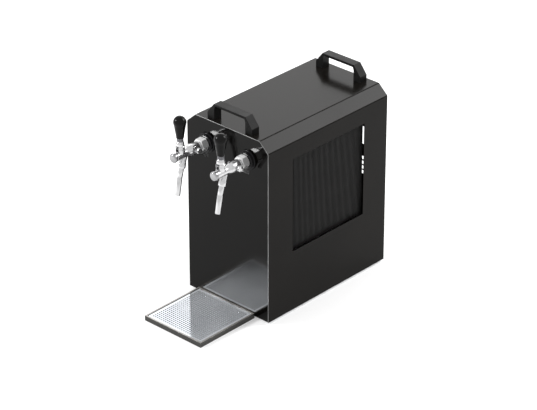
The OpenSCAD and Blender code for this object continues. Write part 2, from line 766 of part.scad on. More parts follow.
motor_d = 62;
motor_len = 24;
motor_back = 26;
fan_shaft_d = 6;
fan_hub_d = 46;
fan_hub_len = 20;
arm_w = 12;
arm_t = 3;
motor_x1 = shroud_x0 - motor_back;
module fan_motor() {
    reach = fan_d / 2 + fan_gap + arm_w / 2;
    color(black_plastic) {
        bar_x([motor_x1 - motor_len, fan_y, fan_z], motor_d, motor_len);
        bar_x([motor_x1, fan_y, fan_z], fan_shaft_d, motor_back);
        for (a = [0, 180]) translate([0, fan_y, fan_z]) rotate([a, 0, 0]) {
            block([motor_x1 - arm_t, 0, -arm_w / 2], [motor_x1, reach + arm_w / 2, arm_w / 2]);
            block([motor_x1 - arm_t, reach - arm_w / 2, -arm_w / 2],
                  [shroud_x0, reach + arm_w / 2, arm_w / 2]);
        }
    }
}

blade_t = 2;
blade_pitch = 32;
blade_w = 40;
blade_sink = 6;
module fan_rotor() {
    hub_x = motor_x1 + fan_gap;
    color(black_plastic) difference() {
        union() {
            bar_x([hub_x, fan_y, fan_z], fan_hub_d, fan_hub_len);
            for (i = [0 : fan_blades - 1])
                translate([hub_x + fan_hub_len / 2, fan_y, fan_z]) rotate([i * 360 / fan_blades, 0, 0])
                rotate([0, 0, blade_pitch])
                translate([-blade_t / 2, -blade_w / 2, fan_hub_d / 2 - blade_sink])
                cube([blade_t, blade_w, fan_d / 2 - fan_hub_d / 2 + blade_sink - fan_gap]);
        }
        bar_x([hub_x - cut, fan_y, fan_z], fan_shaft_d + 2 * running, fan_hub_len + 2 * cut);
    }
}

/* Compressor at the rear */
compressor_gap = 10.3;
compressor_x = shroud_x0 - compressor_gap - compressor_d / 2;
compressor_back = 78;
compressor_y = rear_y - compressor_back;
mount_h = 14;
mount_d = 22;
mount_edge = 50;
compressor_wall = 3;
plate_t = 3;
compressor_z = pan_top + mount_h;
module compressor() {
    half = compressor_d / 2;
    color(black_plastic) {
        translate([compressor_x, compressor_y, compressor_z + plate_t]) difference() {
            rotate_extrude() polygon([
                [0, 0], [half / 2, 0], [half, half / 2], [half, compressor_h - half / 2],
                [half / 2, compressor_h], [0, compressor_h]
            ]);
            bar_z([0, 0, half / 2], compressor_d - 2 * compressor_wall, compressor_h - half);
        }
        block([compressor_x - mount_edge - mount_d / 2, compressor_y - mount_edge / 2, compressor_z],
              [compressor_x + mount_edge + mount_d / 2, compressor_y + mount_edge / 2,
               compressor_z + plate_t]);
    }
}

module compressor_mounts() {
    color(rubber) for (sx = [-1, 1], sy = [-1, 1])
        bar_z([compressor_x + sx * mount_edge, compressor_y + sy * (mount_edge - mount_d) / 2, pan_top],
              mount_d, mount_h);
}

/* Cooling block in its insulation, on the shelf */
motor_clear = 4.8;
foam_x0 = -body_w / 2 + slant_w;
foam_x1 = motor_x1 - motor_len - motor_clear;
foam_d = block_d + 2 * foam_t;
foam_h = block_h + 2 * foam_t;
foam_back = 46;
foam_y0 = front_y + foam_back;
foam_z0 = foot_h + shelf_rise + sheet_t;
block_x0 = foam_x0 + foam_t;
block_y0 = foam_y0 + foam_t;
block_z0 = foam_z0 + foam_t;
block_x1 = foam_x1 - foam_t;
block_y1 = block_y0 + block_d;
// The beer passages: one runs straight to the left tap, the other turns out to the right tap
beer_gap = 30;
beer_xs = [-tap_x, beer_gap - tap_x];
passage_d = line_d - 2 * line_t;
turn_back = 10;
turn_y = block_y0 + turn_back;
// Where the suction pipe and the capillary enter
suction_back = 30;
suction_drop = 56;
suction_y = (block_y0 + block_y1) / 2 + suction_back;
suction_z = foam_z0 + foam_h - suction_drop;
capillary_back = 40;
capillary_rise = 30;
capillary_y = block_y0 + capillary_back;
capillary_z = block_z0 + capillary_rise;
suction_d = 9;
capillary_d = 3;
module cooling_block() {
    color(steel) difference() {
        block([block_x0, block_y0, block_z0], [block_x1, block_y1, block_z0 + block_h]);
        bar_y([beer_xs[0], block_y0 - cut, tap_z], passage_d, block_d + 2 * cut);
        bar_y([beer_xs[1], turn_y, tap_z], passage_d, block_y1 - turn_y + cut);
        bar_x([beer_xs[1], turn_y, tap_z], passage_d, block_x1 - beer_xs[1] + cut);
    }
}

module insulation_box() {
    far_x = foam_x1 + cut - block_x1;
    color(white_plastic) difference() {
        block([foam_x0, foam_y0, foam_z0], [foam_x1, foam_y0 + foam_d, foam_z0 + foam_h]);
        block([block_x0, block_y0, block_z0], [block_x1, block_y1, block_z0 + block_h]);
        bar_y([beer_xs[0], foam_y0 - cut, tap_z], line_d + 2 * running, foam_d + 2 * cut);
        bar_y([beer_xs[1], block_y1 - cut, tap_z], line_d + 2 * running, foam_t + 2 * cut);
        bar_x([block_x1 - cut, turn_y, tap_z], line_d + 2 * running, far_x + cut);
        bar_x([block_x1 - cut, suction_y, suction_z], suction_d + 2 * running, far_x + cut);
        bar_x([block_x1 - cut, capillary_y, capillary_z], capillary_d + 2 * running, far_x + cut);
    }
}

module shelf() {
    x0 = -inner_x + sheet_t;
    z1 = foot_h + shelf_rise;
    color(steel) {
        block([x0, foam_y0, z1], [foam_x1, foam_y0 + foam_d, z1 + sheet_t]);
        block([x0, foam_y0, pan_top], [x0 + sheet_t, foam_y0 + foam_d, z1]);
        block([foam_x1 - sheet_t, foam_y0, pan_top], [foam_x1, foam_y0 + foam_d, z1]);
    }
}

/* Beer, refrigerant and air lines */
line_insert = 10;
shank_end = front_face + shank_tail;
turn_r = 20;
module front_beer_lines() {
    color(white_plastic) {
        tube_y([beer_xs[0], shank_end - line_insert, tap_z], line_d, passage_d,
               block_y0 - shank_end + line_insert);
        // out of the block's side, round a quarter bend and into the right shank
        difference() {
            bar_x([block_x1, turn_y, tap_z], line_d, tap_x - turn_r - block_x1);
            bar_x([block_x1 - cut, turn_y, tap_z], passage_d, tap_x - turn_r - block_x1 + 2 * cut);
        }
        translate([tap_x - turn_r, turn_y - turn_r, tap_z]) rotate_extrude(angle = 90)
            translate([turn_r, 0]) difference() {
                circle(d = line_d, $fn = 24);
                circle(d = passage_d, $fn = 24);
            }
        tube_y([tap_x, shank_end - line_insert, tap_z], line_d, passage_d,
               turn_y - turn_r - shank_end + line_insert);
    }
}

tail_neck_d = 12;
tail_neck_len = 16;
tail_flange_af = 17;
tail_flange_t = 4;
tail_bore = 5;
module rear_beer_lines() {
    color(white_plastic) for (x = beer_xs)
        tube_y([x, block_y1, tap_z], line_d, passage_d,
               rear_inner - tail_neck_len + line_insert - block_y1);
}

// A hose tail through the rear panel, with its nut on the inside.
module hose_tail(x, z) {
    color(chrome) {
        difference() {
            union() {
                bar_y([x, rear_inner - tail_neck_len, z], tail_neck_d, tail_neck_len + sheet_t);
                hex_y([x, rear_face, z], tail_flange_af, tail_flange_t);
                bar_y([x, rear_face, z], tail_d, tail_len);
            }
            bar_y([x, rear_inner - tail_neck_len - cut, z], line_d + 2 * running, line_insert + cut);
            bar_y([x, rear_inner - tail_neck_len, z], tail_bore,
                  tail_neck_len + sheet_t + tail_len + cut);
        }
        difference() {
            hex_y([x, rear_inner - tail_flange_t, z], tail_flange_af, tail_flange_t);
            bar_y([x, rear_inner - tail_flange_t - cut, z], tail_neck_d + 2 * running,
                  tail_flange_t + 2 * cut);
        }
    }
}
module beer_inlets() for (x = beer_xs) hose_tail(x, tap_z);

// The air tail stands under the left beer inlet.
air_drop = 30;
air_x = beer_xs[0];
air_z = tap_z - air_drop;
module air_outlet() hose_tail(air_x, air_z);

compressor_top = compressor_z + plate_t + compressor_h;
discharge_d = 6;
discharge_back = 14;
discharge_clear = 18;
module discharge_pipe() {
    y0 = compressor_y + discharge_back;
    y1 = condenser_y1 + sheet_t + discharge_clear;
    color(copper) pipe([
        [compressor_x, y0, compressor_top], [compressor_x, y0, tube_z1], [compressor_x, y1, tube_z1],
        [tube_x, y1, tube_z1], [tube_x, tube_y1, tube_z1]
    ], discharge_d);
}

suction_off = 20;
module suction_pipe() {
    x = compressor_x + suction_off;
    color(copper) pipe([
        [block_x1, suction_y, suction_z], [x, suction_y, suction_z], [x, compressor_y, suction_z],
        [x, compressor_y, compressor_top]
    ], suction_d);
}

dryer_d = 19;
dryer_len = 70;
dryer_front = 18;
dryer_drop = 20;
capillary_clear = 8.5;
capillary_low = 24;
module filter_dryer() {
    x = foam_x1 + capillary_clear;
    y = condenser_y0 - sheet_t - dryer_front;
    top = tube_z0 - dryer_drop;
    bottom = top - dryer_len;
    color(copper) {
        pipe([[tube_x, tube_y0, tube_z0], [tube_x, y, tube_z0], [tube_x, y, top]], discharge_d);
        bar_z([tube_x, y, bottom], dryer_d, dryer_len);
        pipe([
            [tube_x, y, bottom], [tube_x, y, bottom - capillary_low],
            [x, y, bottom - capillary_low], [x, y, capillary_z], [x, capillary_y, capillary_z],
            [block_x1, capillary_y, capillary_z]
        ], capillary_d);
    }
}

pump_w = 70;
pump_d = 84;
pump_h = 58;
pump_side = 18.8;
pump_x0 = pump_side - inner_x;
pump_back = 62;
pump_y0 = front_y + pump_back;
air_line_d = 6;
module air_pump() {
    color(black_plastic) {
        block([pump_x0, pump_y0, pan_top], [pump_x0 + pump_w, pump_y0 + pump_d, pan_top + pump_h]);
        bar_z([pump_x0 + pump_w / 2, pump_y0 + pump_d / 2, pan_top + pump_h], pump_w / 2, pump_h / 4);
    }
}

// The air line leaves the pump near the cabinet's side, clear of the compressor.
air_side = 10;
module air_line() {
    x = pump_x0 + air_side;
    z = pan_top + pump_h / 2;
    y = rear_inner - 2 * tail_neck_len;
    color(white_plastic) pipe([
        [x, pump_y0 + pump_d, z], [x, y, z], [x, y, air_z], [air_x, y, air_z],
        [air_x, rear_inner - tail_neck_len + line_insert, air_z]
    ], air_line_d);
}

/* Rear connections */
mains_side = 60;
mains_x = mains_side - body_w / 2;
mains_rise = 60;
mains_z = foot_h + mains_rise;
mains_depth = 22;
mains_wall = 1.5;
mains_ear = 10;
mains_lip = 3;
mains_flange_t = 2;
mains_pins = 10;
module mains_inlet() {
    w = inlet_w - 2 * running;
    h = inlet_h - 2 * running;
    color(black_plastic) translate([mains_x, rear_face, mains_z]) difference() {
        union() {
            block([-w / 2 - mains_ear, 0, -h / 2 - mains_lip],
                  [w / 2 + mains_ear, mains_flange_t, h / 2 + mains_lip]);
            block([-w / 2, -mains_depth, -h / 2], [w / 2, mains_flange_t, h / 2]);
        }
        block([-w / 2 + mains_wall, -mains_depth + 2 * mains_wall, -h / 2 + mains_wall],
              [w / 2 - mains_wall, mains_flange_t + cut, h / 2 - mains_wall]);
    }
    color(chrome) translate([mains_x, rear_face - mains_depth + 2 * mains_wall, mains_z]) for (i = [-1 : 1])
        block([i * w / 4 - mains_wall / 2, 0, i == 0 ? 0 : -h / 4],
              [i * w / 4 + mains_wall / 2, mains_pins, i == 0 ? h / 4 : 0]);
}

switch_side = 58;
switch_x = body_w / 2 - switch_side;
dial_x = 15;
dial_z = tap_z;
bezel_t = 2;
bezel_lip = 2.5;
switch_wall = 1.2;
switch_depth = 20;
rocker_pin_d = 3;
rocker_back = 4;
rocker_tilt = 6;
rocker_face_share = 0.9;
switch_inside_w = switch_w - 2 * running - 2 * switch_wall;
switch_inside_h = switch_h - 2 * running - 2 * switch_wall;
module switch_frame() {
    w = switch_w - 2 * running;
    h = switch_h - 2 * running;
    color(black_plastic) translate([switch_x, rear_face, dial_z]) difference() {
        union() {
            block([-w / 2 - bezel_lip, 0, -h / 2 - bezel_lip],
                  [w / 2 + bezel_lip, bezel_t, h / 2 + bezel_lip]);
            block([-w / 2, -switch_depth, -h / 2], [w / 2, bezel_t, h / 2]);
        }
        block([-switch_inside_w / 2, -switch_depth + switch_wall, -switch_inside_h / 2],
              [switch_inside_w / 2, bezel_t + cut, switch_inside_h / 2]);
        bar_x([-w, -rocker_back, 0], rocker_pin_d + 2 * running, 2 * w);
    }
}

module switch_rocker() {
    half_w = switch_inside_w / 2 - seat_gap;
    half_h = switch_inside_h / 2 - 2 * seat_gap;
    front = rocker_back + bezel_t;
    color(black_plastic) translate([switch_x, rear_face - rocker_back, dial_z]) {
        rotate([-rocker_tilt, 0, 0]) translate([-half_w, 0, 0])
            rotate([90, 0, 90]) linear_extrude(2 * half_w)
            polygon([
                [-rocker_back, -half_h / 2], [front, -half_h * rocker_face_share], [front - bezel_t / 2, 0],
                [front, half_h * rocker_face_share], [-rocker_back, half_h / 2]
            ]);
        bar_x([-half_w - seat_gap - switch_wall / 2, 0, 0], rocker_pin_d,
              2 * half_w + 2 * seat_gap + switch_wall);
    }
}

dial_neck_d = 10;
dial_shaft_d = 6;
dial_wall = 3;
dial_root_share = 0.8;
dial_top_share = 0.7;
thermostat_w = 38;
thermostat_d = 32;
thermostat_h = 44;
module thermostat() {
    color(white_plastic) translate([dial_x, rear_inner, dial_z]) {
        block([-thermostat_w / 2, -thermostat_d, -thermostat_h / 2],
              [thermostat_w / 2, 0, thermostat_h / 2]);
        bar_y([0, 0, 0], dial_neck_d, sheet_t);
        bar_y([0, 0, 0], dial_shaft_d, sheet_t + dial_gap + dial_h - dial_wall - seat_gap);
    }
}

pointer_w = 2;
module thermostat_knob() {
    color(black_plastic) translate([dial_x, rear_face + dial_gap, dial_z]) difference() {
        union() {
            bar_y([0, 0, 0], dial_d, dial_wall);
            translate([0, dial_wall, 0]) rotate([-90, 0, 0])
                cylinder(d1 = dial_d * dial_root_share, d2 = dial_d * dial_top_share,
                         h = dial_h - dial_wall, $fn = 48);
        }
        bar_y([0, -cut, 0], dial_shaft_d + 2 * running, dial_h - dial_wall + cut);
        // the pointer, a groove across the rim
        block([-pointer_w / 2, dial_h - pointer_w / 2, 0], [pointer_w / 2, dial_h + cut, dial_d / 2]);
    }
}

seated() cabinet_cover();
seated() front_panel();
seated() rear_panel();
seated() base_pan();
seated() feet();
seated() rear_panel_screws();
seated() front_handle();
seated() rear_handle();
seated() handle_screws();
seated() at_tap(-1) rosette();  // left_rosette
seated() at_tap(1) rosette();  // right_rosette
seated() tap_shanks();
seated() shank_lock_nuts();
seated() coupling_nuts();
seated() at_tap(-1) tap_body();  // left_tap_body
seated() at_tap(1) tap_body();  // right_tap_body
seated() at_tap(-1) end_cap();  // left_end_cap
seated() at_tap(1) end_cap();  // right_end_cap
seated() at_tap(-1) bonnet();  // left_bonnet
seated() at_tap(1) bonnet();  // right_bonnet
seated() lever_pins();
seated() at_tap(-1) lever();  // left_lever
seated() at_tap(1) lever();  // right_lever
seated() at_tap(-1) knob();  // left_knob
seated() at_tap(1) knob();  // right_knob
seated() at_tap(-1) piston();  // left_piston
seated() at_tap(1) piston();  // right_piston
seated() at_tap(-1) flow_lever();  // left_flow_lever
seated() at_tap(1) flow_lever();  // right_flow_lever
seated() at_tap(-1) spout_adapter();  // left_spout_adapter
seated() at_tap(1) spout_adapter();  // right_spout_adapter
seated() at_tap(-1) spout();  // left_spout
seated() at_tap(1) spout();  // right_spout
seated() drip_tray();
seated() drip_grid();
seated() condenser_fins();
seated() condenser_tube();
seated() fan_shroud();
seated() fan_motor();
seated() fan_rotor();
seated() compressor();
seated() compressor_mounts();
seated() cooling_block();
seated() insulation_box();
seated() shelf();
seated() front_beer_lines();
seated() rear_beer_lines();
seated() discharge_pipe();
seated() suction_pipe();
seated() filter_dryer();
seated() air_pump();
seated() air_line();
seated() beer_inlets();
seated() air_outlet();
seated() mains_inlet();
seated() switch_frame();
seated() switch_rocker();
seated() thermostat();
seated() thermostat_knob();
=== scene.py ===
"""A table-top beer cooler: black sheet cabinet, two lever taps, two handles and a drip tray."""
import json
import math

import bmesh
import bpy
from bpy.props import FloatProperty, FloatVectorProperty, IntProperty, PointerProperty
from mathutils import Matrix, Vector


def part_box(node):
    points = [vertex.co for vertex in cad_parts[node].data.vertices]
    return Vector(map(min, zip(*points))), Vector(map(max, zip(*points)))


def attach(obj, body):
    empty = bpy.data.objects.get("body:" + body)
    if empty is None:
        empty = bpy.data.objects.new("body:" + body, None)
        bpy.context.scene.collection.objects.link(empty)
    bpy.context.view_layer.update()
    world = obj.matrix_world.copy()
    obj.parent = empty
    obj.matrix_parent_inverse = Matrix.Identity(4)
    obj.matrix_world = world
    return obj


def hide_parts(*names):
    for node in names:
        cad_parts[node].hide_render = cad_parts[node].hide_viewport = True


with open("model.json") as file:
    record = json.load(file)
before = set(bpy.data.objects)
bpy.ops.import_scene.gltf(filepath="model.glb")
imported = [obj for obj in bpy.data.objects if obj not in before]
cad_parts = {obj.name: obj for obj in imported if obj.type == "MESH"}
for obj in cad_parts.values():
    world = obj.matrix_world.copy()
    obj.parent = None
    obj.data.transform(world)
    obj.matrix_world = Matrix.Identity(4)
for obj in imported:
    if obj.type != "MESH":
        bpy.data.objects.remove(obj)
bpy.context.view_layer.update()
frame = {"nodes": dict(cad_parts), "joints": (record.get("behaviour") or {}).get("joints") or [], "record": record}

bl_info = {
    "name": "Table-Top Beer Cooler",
    "version": (1, 0, 0),
    "blender": (4, 5, 0),
    "location": "View3D > Sidebar > Cooler",
    "description": "Dresses the packed beer cooler: sheet, taps, tray, grille, fittings and studio",
    "category": "Object",
}

MM = 0.001
PIVOTS = {j["child"]: Vector(j["pos_m"]) for j in frame["joints"] if "pos_m" in j}
SIDES = ("left", "right")
FINISHES = {}


# Finishes

WEAR_DETAIL = 4.0
GRAIN_DETAIL = 2.0
GRAIN_SHARE = 0.4
GRAIN_STRENGTH = 0.6


def wire(tree, kind, sockets=None, **attributes):
    """One node of a finish, with its attributes and the values of its named sockets."""
    node = tree.nodes.new(kind)
    for name, value in attributes.items():
        setattr(node, name, value)
    for socket, value in (sockets or {}).items():
        node.inputs[socket].default_value = value
    return node


def pattern_value(tree, place, scale, detail, cells=False):
    """The value of a noise, or of crystal cells, at a place in the object."""
    if cells:
        pattern = wire(tree, "ShaderNodeTexVoronoi", {"Scale": scale}, feature="F1")
    else:
        pattern = wire(tree, "ShaderNodeTexNoise", {"Scale": scale, "Detail": detail})
    tree.links.new(place, pattern.inputs["Vector"])
    return pattern.outputs["Color" if cells else "Fac"]


def made_finish(name, colour, worn, rough, patch, grain, depth, metallic=0.0, gloss=0.5,
                stretch=(1.0, 1.0, 1.0), cells=False, spread=(0.35, 0.65)):
    """A finish with patches of wear in its colour and sheen and a fine grain in its surface.

    rough is the roughness of the fresh and of the worn surface. patch and grain are counts per metre, depth
    is the grain's height in millimetres, stretch draws the grain out into lines, and spread is the range of
    the pattern over which the patches blend."""
    finish = bpy.data.materials.new(name)
    finish.use_nodes = True
    tree = finish.node_tree
    shader = tree.nodes["Principled BSDF"]
    shader.inputs["Metallic"].default_value = metallic
    shader.inputs["Specular IOR Level"].default_value = gloss
    here = tree.nodes.new("ShaderNodeTexCoord").outputs["Object"]
    drawn = wire(tree, "ShaderNodeMapping", {"Scale": stretch})
    tree.links.new(here, drawn.inputs["Vector"])
    wear = pattern_value(tree, here, patch, WEAR_DETAIL, cells)
    share = wire(tree, "ShaderNodeMapRange", {"From Min": spread[0], "From Max": spread[1]})
    tree.links.new(wear, share.inputs["Value"])
    colours = wire(tree, "ShaderNodeMix", data_type="RGBA")
    colours.inputs[6].default_value = (*colour, 1.0)
    colours.inputs[7].default_value = (*worn, 1.0)
    tree.links.new(share.outputs["Result"], colours.inputs[0])
    tree.links.new(colours.outputs[2], shader.inputs["Base Color"])
    fine = pattern_value(tree, drawn.outputs["Vector"], grain, GRAIN_DETAIL)
    sheen = wire(tree, "ShaderNodeMapRange", {"To Min": rough[0], "To Max": rough[1]})
    blend = wire(tree, "ShaderNodeMath", {1: GRAIN_SHARE}, operation="MULTIPLY_ADD")
    tree.links.new(fine, blend.inputs[0])
    tree.links.new(share.outputs["Result"], blend.inputs[2])
    tree.links.new(blend.outputs["Value"], sheen.inputs["Value"])
    tree.links.new(sheen.outputs["Result"], shader.inputs["Roughness"])
    relief = wire(tree, "ShaderNodeBump", {"Strength": GRAIN_STRENGTH, "Distance": depth * MM})
    tree.links.new(fine, relief.inputs["Height"])
    tree.links.new(relief.outputs["Normal"], shader.inputs["Normal"])
    finish.diffuse_color = (*colour, 1.0)
    return finish


def times(colour, share):
    """A colour made lighter or darker."""
    return tuple(value * share for value in colour)


def sheet_finishes(look):
    """The coated sheet of the cabinet, a darker copy of it on the front panel as painted shade, and its bare edge
    made light as a painted highlight.
    """
    sheet, rough = tuple(look.sheet_colour), look.sheet_roughness
    coat = dict(patch=7.0, grain=1400.0, spread=(0.3, 0.75))
    return {
        "satin_black_sheet": dict(
            colour=sheet, worn=times(sheet, 1.5), rough=(rough, rough + 0.1), depth=0.004,
            gloss=look.sheet_gloss, **coat),
        # Painted shade: a darker copy of the sheet colour on the front panel, so that it reads as dark as the
        # sides in spite of the bright floor it mirrors
        "shaded_front_sheet": dict(
            colour=times(sheet, 0.3), worn=times(sheet, 0.5), rough=(rough * 0.6, rough), depth=0.002,
            gloss=look.front_gloss, **coat),
        # Bare cut edge, made light grey and metallic so that it paints the highlight along the cover's front edge
        "bare_edge_and_highlight": dict(
            colour=(0.4, 0.4, 0.4), worn=(0.3, 0.3, 0.3), rough=(0.35, 0.5), patch=30.0, grain=1500.0,
            depth=0.003, metallic=0.8),
    }


def black_finishes():
    """The black plastics, the rubber and the painted pressings."""
    return {
        "handle_plastic": dict(
            colour=(0.003, 0.003, 0.003), worn=(0.006, 0.0058, 0.0055), rough=(0.32, 0.45), patch=30.0,
            grain=2600.0, depth=0.012, gloss=0.1),
        "knob_plastic": dict(
            colour=(0.003, 0.003, 0.003), worn=(0.005, 0.0048, 0.0046), rough=(0.1, 0.2), patch=40.0,
            grain=900.0, depth=0.003, gloss=0.12),
        "rosette_plastic": dict(
            colour=(0.005, 0.0048, 0.0055), worn=(0.008, 0.0078, 0.0085), rough=(0.14, 0.26), patch=60.0,
            grain=1200.0, depth=0.003, gloss=0.16),
        "foot_rubber": dict(
            colour=(0.012, 0.012, 0.012), worn=(0.03, 0.029, 0.027), rough=(0.7, 0.9), patch=50.0,
            grain=1800.0, depth=0.03, gloss=0.3),
        "black_housing": dict(
            colour=(0.018, 0.018, 0.018), worn=(0.04, 0.038, 0.035), rough=(0.5, 0.7), patch=28.0,
            grain=1500.0, depth=0.03, gloss=0.4),
        "fitting_plastic": dict(
            colour=(0.012, 0.012, 0.0125), worn=(0.024, 0.023, 0.022), rough=(0.35, 0.5), patch=40.0,
            grain=2200.0, depth=0.015, gloss=0.45),
        "compressor_steel": dict(
            colour=(0.01, 0.01, 0.01), worn=(0.03, 0.028, 0.026), rough=(0.25, 0.5), patch=18.0,
            grain=700.0, depth=0.02),
    }


def bright_finishes(look):
    """The chromed taps, the steel tray and the screws, with darker and lighter copies of the chrome and steel as
    painted shade and light.
    """
    chrome = tuple(look.chrome_colour)
    plated = dict(patch=60.0, grain=1500.0)
    brushed = dict(patch=16.0, grain=700.0)
    return {
        "chrome": dict(
            colour=chrome, worn=times(chrome, 0.85), rough=(0.05, 0.14), depth=0.0015,
            metallic=look.chrome_metal, **plated),
        # Painted shade: a darker copy of the chrome for the end caps
        "shaded_cap_chrome": dict(
            colour=(0.33, 0.33, 0.335), worn=(0.28, 0.28, 0.285), rough=(0.05, 0.14), depth=0.0015,
            metallic=0.95, **plated),
        # Painted light: a lighter copy of the chrome, with a matt share, for the coupling nuts
        "lit_nut_chrome": dict(
            colour=(0.92, 0.92, 0.92), worn=(0.82, 0.82, 0.82), rough=(0.08, 0.18), depth=0.0015,
            metallic=0.7, **plated),
        "ferrule_steel": dict(
            colour=(0.2, 0.2, 0.21), worn=(0.14, 0.14, 0.15), rough=(0.25, 0.4), depth=0.003,
            metallic=0.8, **plated),
        "zinc_steel": dict(
            colour=(0.5, 0.51, 0.52), worn=(0.66, 0.67, 0.68), rough=(0.3, 0.5), patch=90.0, grain=1600.0,
            depth=0.006, metallic=1.0, cells=True, spread=(0.1, 0.9)),
        "polished_steel": dict(
            colour=(0.47, 0.49, 0.515), worn=(0.42, 0.44, 0.465), rough=(0.05, 0.1), depth=0.001,
            metallic=look.plate_metal, stretch=(1.0, 0.03, 1.0), **brushed),
        # Own steel tone for the rim's upward faces: a painted highlight along the rim
        "tray_rim": dict(
            colour=(0.3, 0.29, 0.275), worn=(0.25, 0.24, 0.228), rough=(0.25, 0.35), depth=0.001,
            metallic=0.55, stretch=(1.0, 0.03, 1.0), **brushed),
        # Painted shade: a dark copy of the steel for the tray's upright faces, in place of the dark surroundings
        # they would mirror
        "shaded_tray_side": dict(
            colour=(0.075, 0.074, 0.07), worn=(0.06, 0.059, 0.056), rough=(0.2, 0.32), depth=0.002,
            metallic=1.0, stretch=(1.0, 1.0, 0.05), **brushed),
    }


def inner_finishes():
    """The condenser, pipes, cooling block, foam and lines, and the marks of the dial."""
    return {
        "fin_aluminium": dict(
            colour=(0.0085, 0.0082, 0.0078), worn=(0.014, 0.0136, 0.0132), rough=(0.4, 0.6), patch=22.0,
            grain=1200.0, depth=0.01, gloss=0.4),
        "copper_pipe": dict(
            colour=(0.72, 0.3, 0.17), worn=(0.4, 0.17, 0.1), rough=(0.22, 0.5), patch=35.0, grain=1100.0,
            depth=0.006, metallic=1.0, stretch=(1.0, 1.0, 0.1)),
        "block_aluminium": dict(
            colour=(0.6, 0.6, 0.61), worn=(0.48, 0.48, 0.5), rough=(0.35, 0.55), patch=30.0, grain=900.0,
            depth=0.04, metallic=1.0),
        "foam": dict(
            colour=(0.74, 0.74, 0.7), worn=(0.6, 0.59, 0.54), rough=(0.8, 0.95), patch=25.0, grain=500.0,
            depth=0.3, gloss=0.3, cells=True, spread=(0.0, 1.0)),
        "line_plastic": dict(
            colour=(0.72, 0.73, 0.7), worn=(0.6, 0.6, 0.55), rough=(0.25, 0.4), patch=25.0, grain=900.0,
            depth=0.005),
        "dial_print": dict(
            colour=(0.7, 0.7, 0.68), worn=(0.55, 0.55, 0.53), rough=(0.5, 0.7), patch=60.0, grain=1500.0,
            depth=0.005),
    }


def make_finishes(look):
    """Every finish by its name, and the right one on each carried-over part."""
    settings = {**sheet_finishes(look), **black_finishes(), **bright_finishes(look), **inner_finishes()}
    for name, values in settings.items():
        FINISHES[name] = made_finish(name, **values)
    for part in frame["record"]["subparts"]:
        node = frame["nodes"][part["node"]]
        node.data.materials.clear()
        node.data.materials.append(FINISHES[part["material_slot"]])


# Shapes

EASE_STEPS = 5
EASE_REACH = 0.49
CAD_WELD = 2e-6
WELD = 1e-6
FLAT_ANGLE = 1.0
# Least share of a face's normal along an axis for the face to count as looking that way
FACING = 0.5


def eased(outline):
    """The outline's corners rounded. A corner is (radius, height) or (radius, height, rounding)."""
    points = []
    for i, corner in enumerate(outline):
        here = Vector(corner[:2])
        if len(corner) < 3 or i in (0, len(outline) - 1):
            points.append(here)
            continue
        back, ahead = (Vector(outline[i + k][:2]) - here for k in (-1, 1))
        reach = min(corner[2], back.length * EASE_REACH, ahead.length * EASE_REACH)
        back, ahead = back.normalized() * reach, ahead.normalized() * reach
        for k in range(EASE_STEPS + 1):
            t = k / EASE_STEPS
            points.append(here + back * (1 - t) ** 2 + ahead * t ** 2)
    return points


def arc(radius, centre, start, end, steps=10):
    """Corners of an arc about a point on the turning axis, from one polar angle in degrees to another."""
    angles = [math.radians(start + (end - start) * k / steps) for k in range(steps + 1)]
    return [(radius * math.sin(a), centre + radius * math.cos(a)) for a in angles]


def ring(outline):
    """An outline that closes on itself, for a piece with a bore."""
    return list(outline) + [outline[0][:2]]


def turned(outline, place=None, steps=64):
    """A piece turned on a lathe about +Z from an outline in millimetres, then put in its place."""
    bm = bmesh.new()
    row = [bm.verts.new((p.x * MM, 0.0, p.y * MM)) for p in eased(outline)]
    for a, b in zip(row, row[1:]):
        bm.edges.new((a, b))
    bmesh.ops.spin(bm, geom=bm.verts[:] + bm.edges[:], cent=(0, 0, 0), axis=(0, 0, 1), angle=math.tau,
                   steps=steps, use_merge=True)
    bmesh.ops.remove_doubles(bm, verts=bm.verts, dist=WELD)
    bmesh.ops.recalc_face_normals(bm, faces=bm.faces)
    if place is not None:
        bmesh.ops.transform(bm, matrix=place, verts=bm.verts)
    return bm


def trimmed(bm, point, normal, near):
    """Cuts away what lies past a plane. The cut's edges are for the caller to close."""
    cut = bmesh.ops.bisect_plane(bm, geom=bm.verts[:] + bm.edges[:] + bm.faces[:], dist=near,
                                 plane_co=point, plane_no=normal, clear_outer=True)
    return [e for e in cut["geom_cut"] if isinstance(e, bmesh.types.BMEdge)]


def merged(node):
    """A copy of a CAD node's mesh with its loose triangles joined."""
    bm = bmesh.new()
    bm.from_mesh(frame["nodes"][node].data)
    bmesh.ops.remove_doubles(bm, verts=bm.verts, dist=CAD_WELD)
    return bm


def copied(node, below=(None, None, None)):
    """A merged copy of a CAD node's mesh in wide faces, cut down to what lies below some coordinates."""
    bm = merged(node)
    for axis, limit in enumerate(below):
        if limit is not None:
            normal = Vector([float(k == axis) for k in range(3)])
            bmesh.ops.holes_fill(bm, edges=trimmed(bm, normal * limit, normal, WELD), sides=0)
    bmesh.ops.dissolve_limit(bm, angle_limit=math.radians(FLAT_ANGLE), verts=bm.verts, edges=bm.edges)
    bmesh.ops.recalc_face_normals(bm, faces=bm.faces)
    return bm


def corners(bm, least, most=181.0, longer_than=0.0):
    """Edges whose two faces turn by an angle in degrees within a range, past a length in metres."""
    return [e for e in bm.edges if len(e.link_faces) == 2
            and least <= math.degrees(e.calc_face_angle(0.0)) < most and e.calc_length() > longer_than]


def rounded(bm, edges, width, segments=3):
    """The edges rounded to a width in millimetres."""
    bmesh.ops.bevel(bm, geom=edges, offset=width * MM, offset_type="OFFSET", affect="EDGES",
                    segments=segments, profile=0.5, clamp_overlap=True, material=-1, loop_slide=True)
    return bm


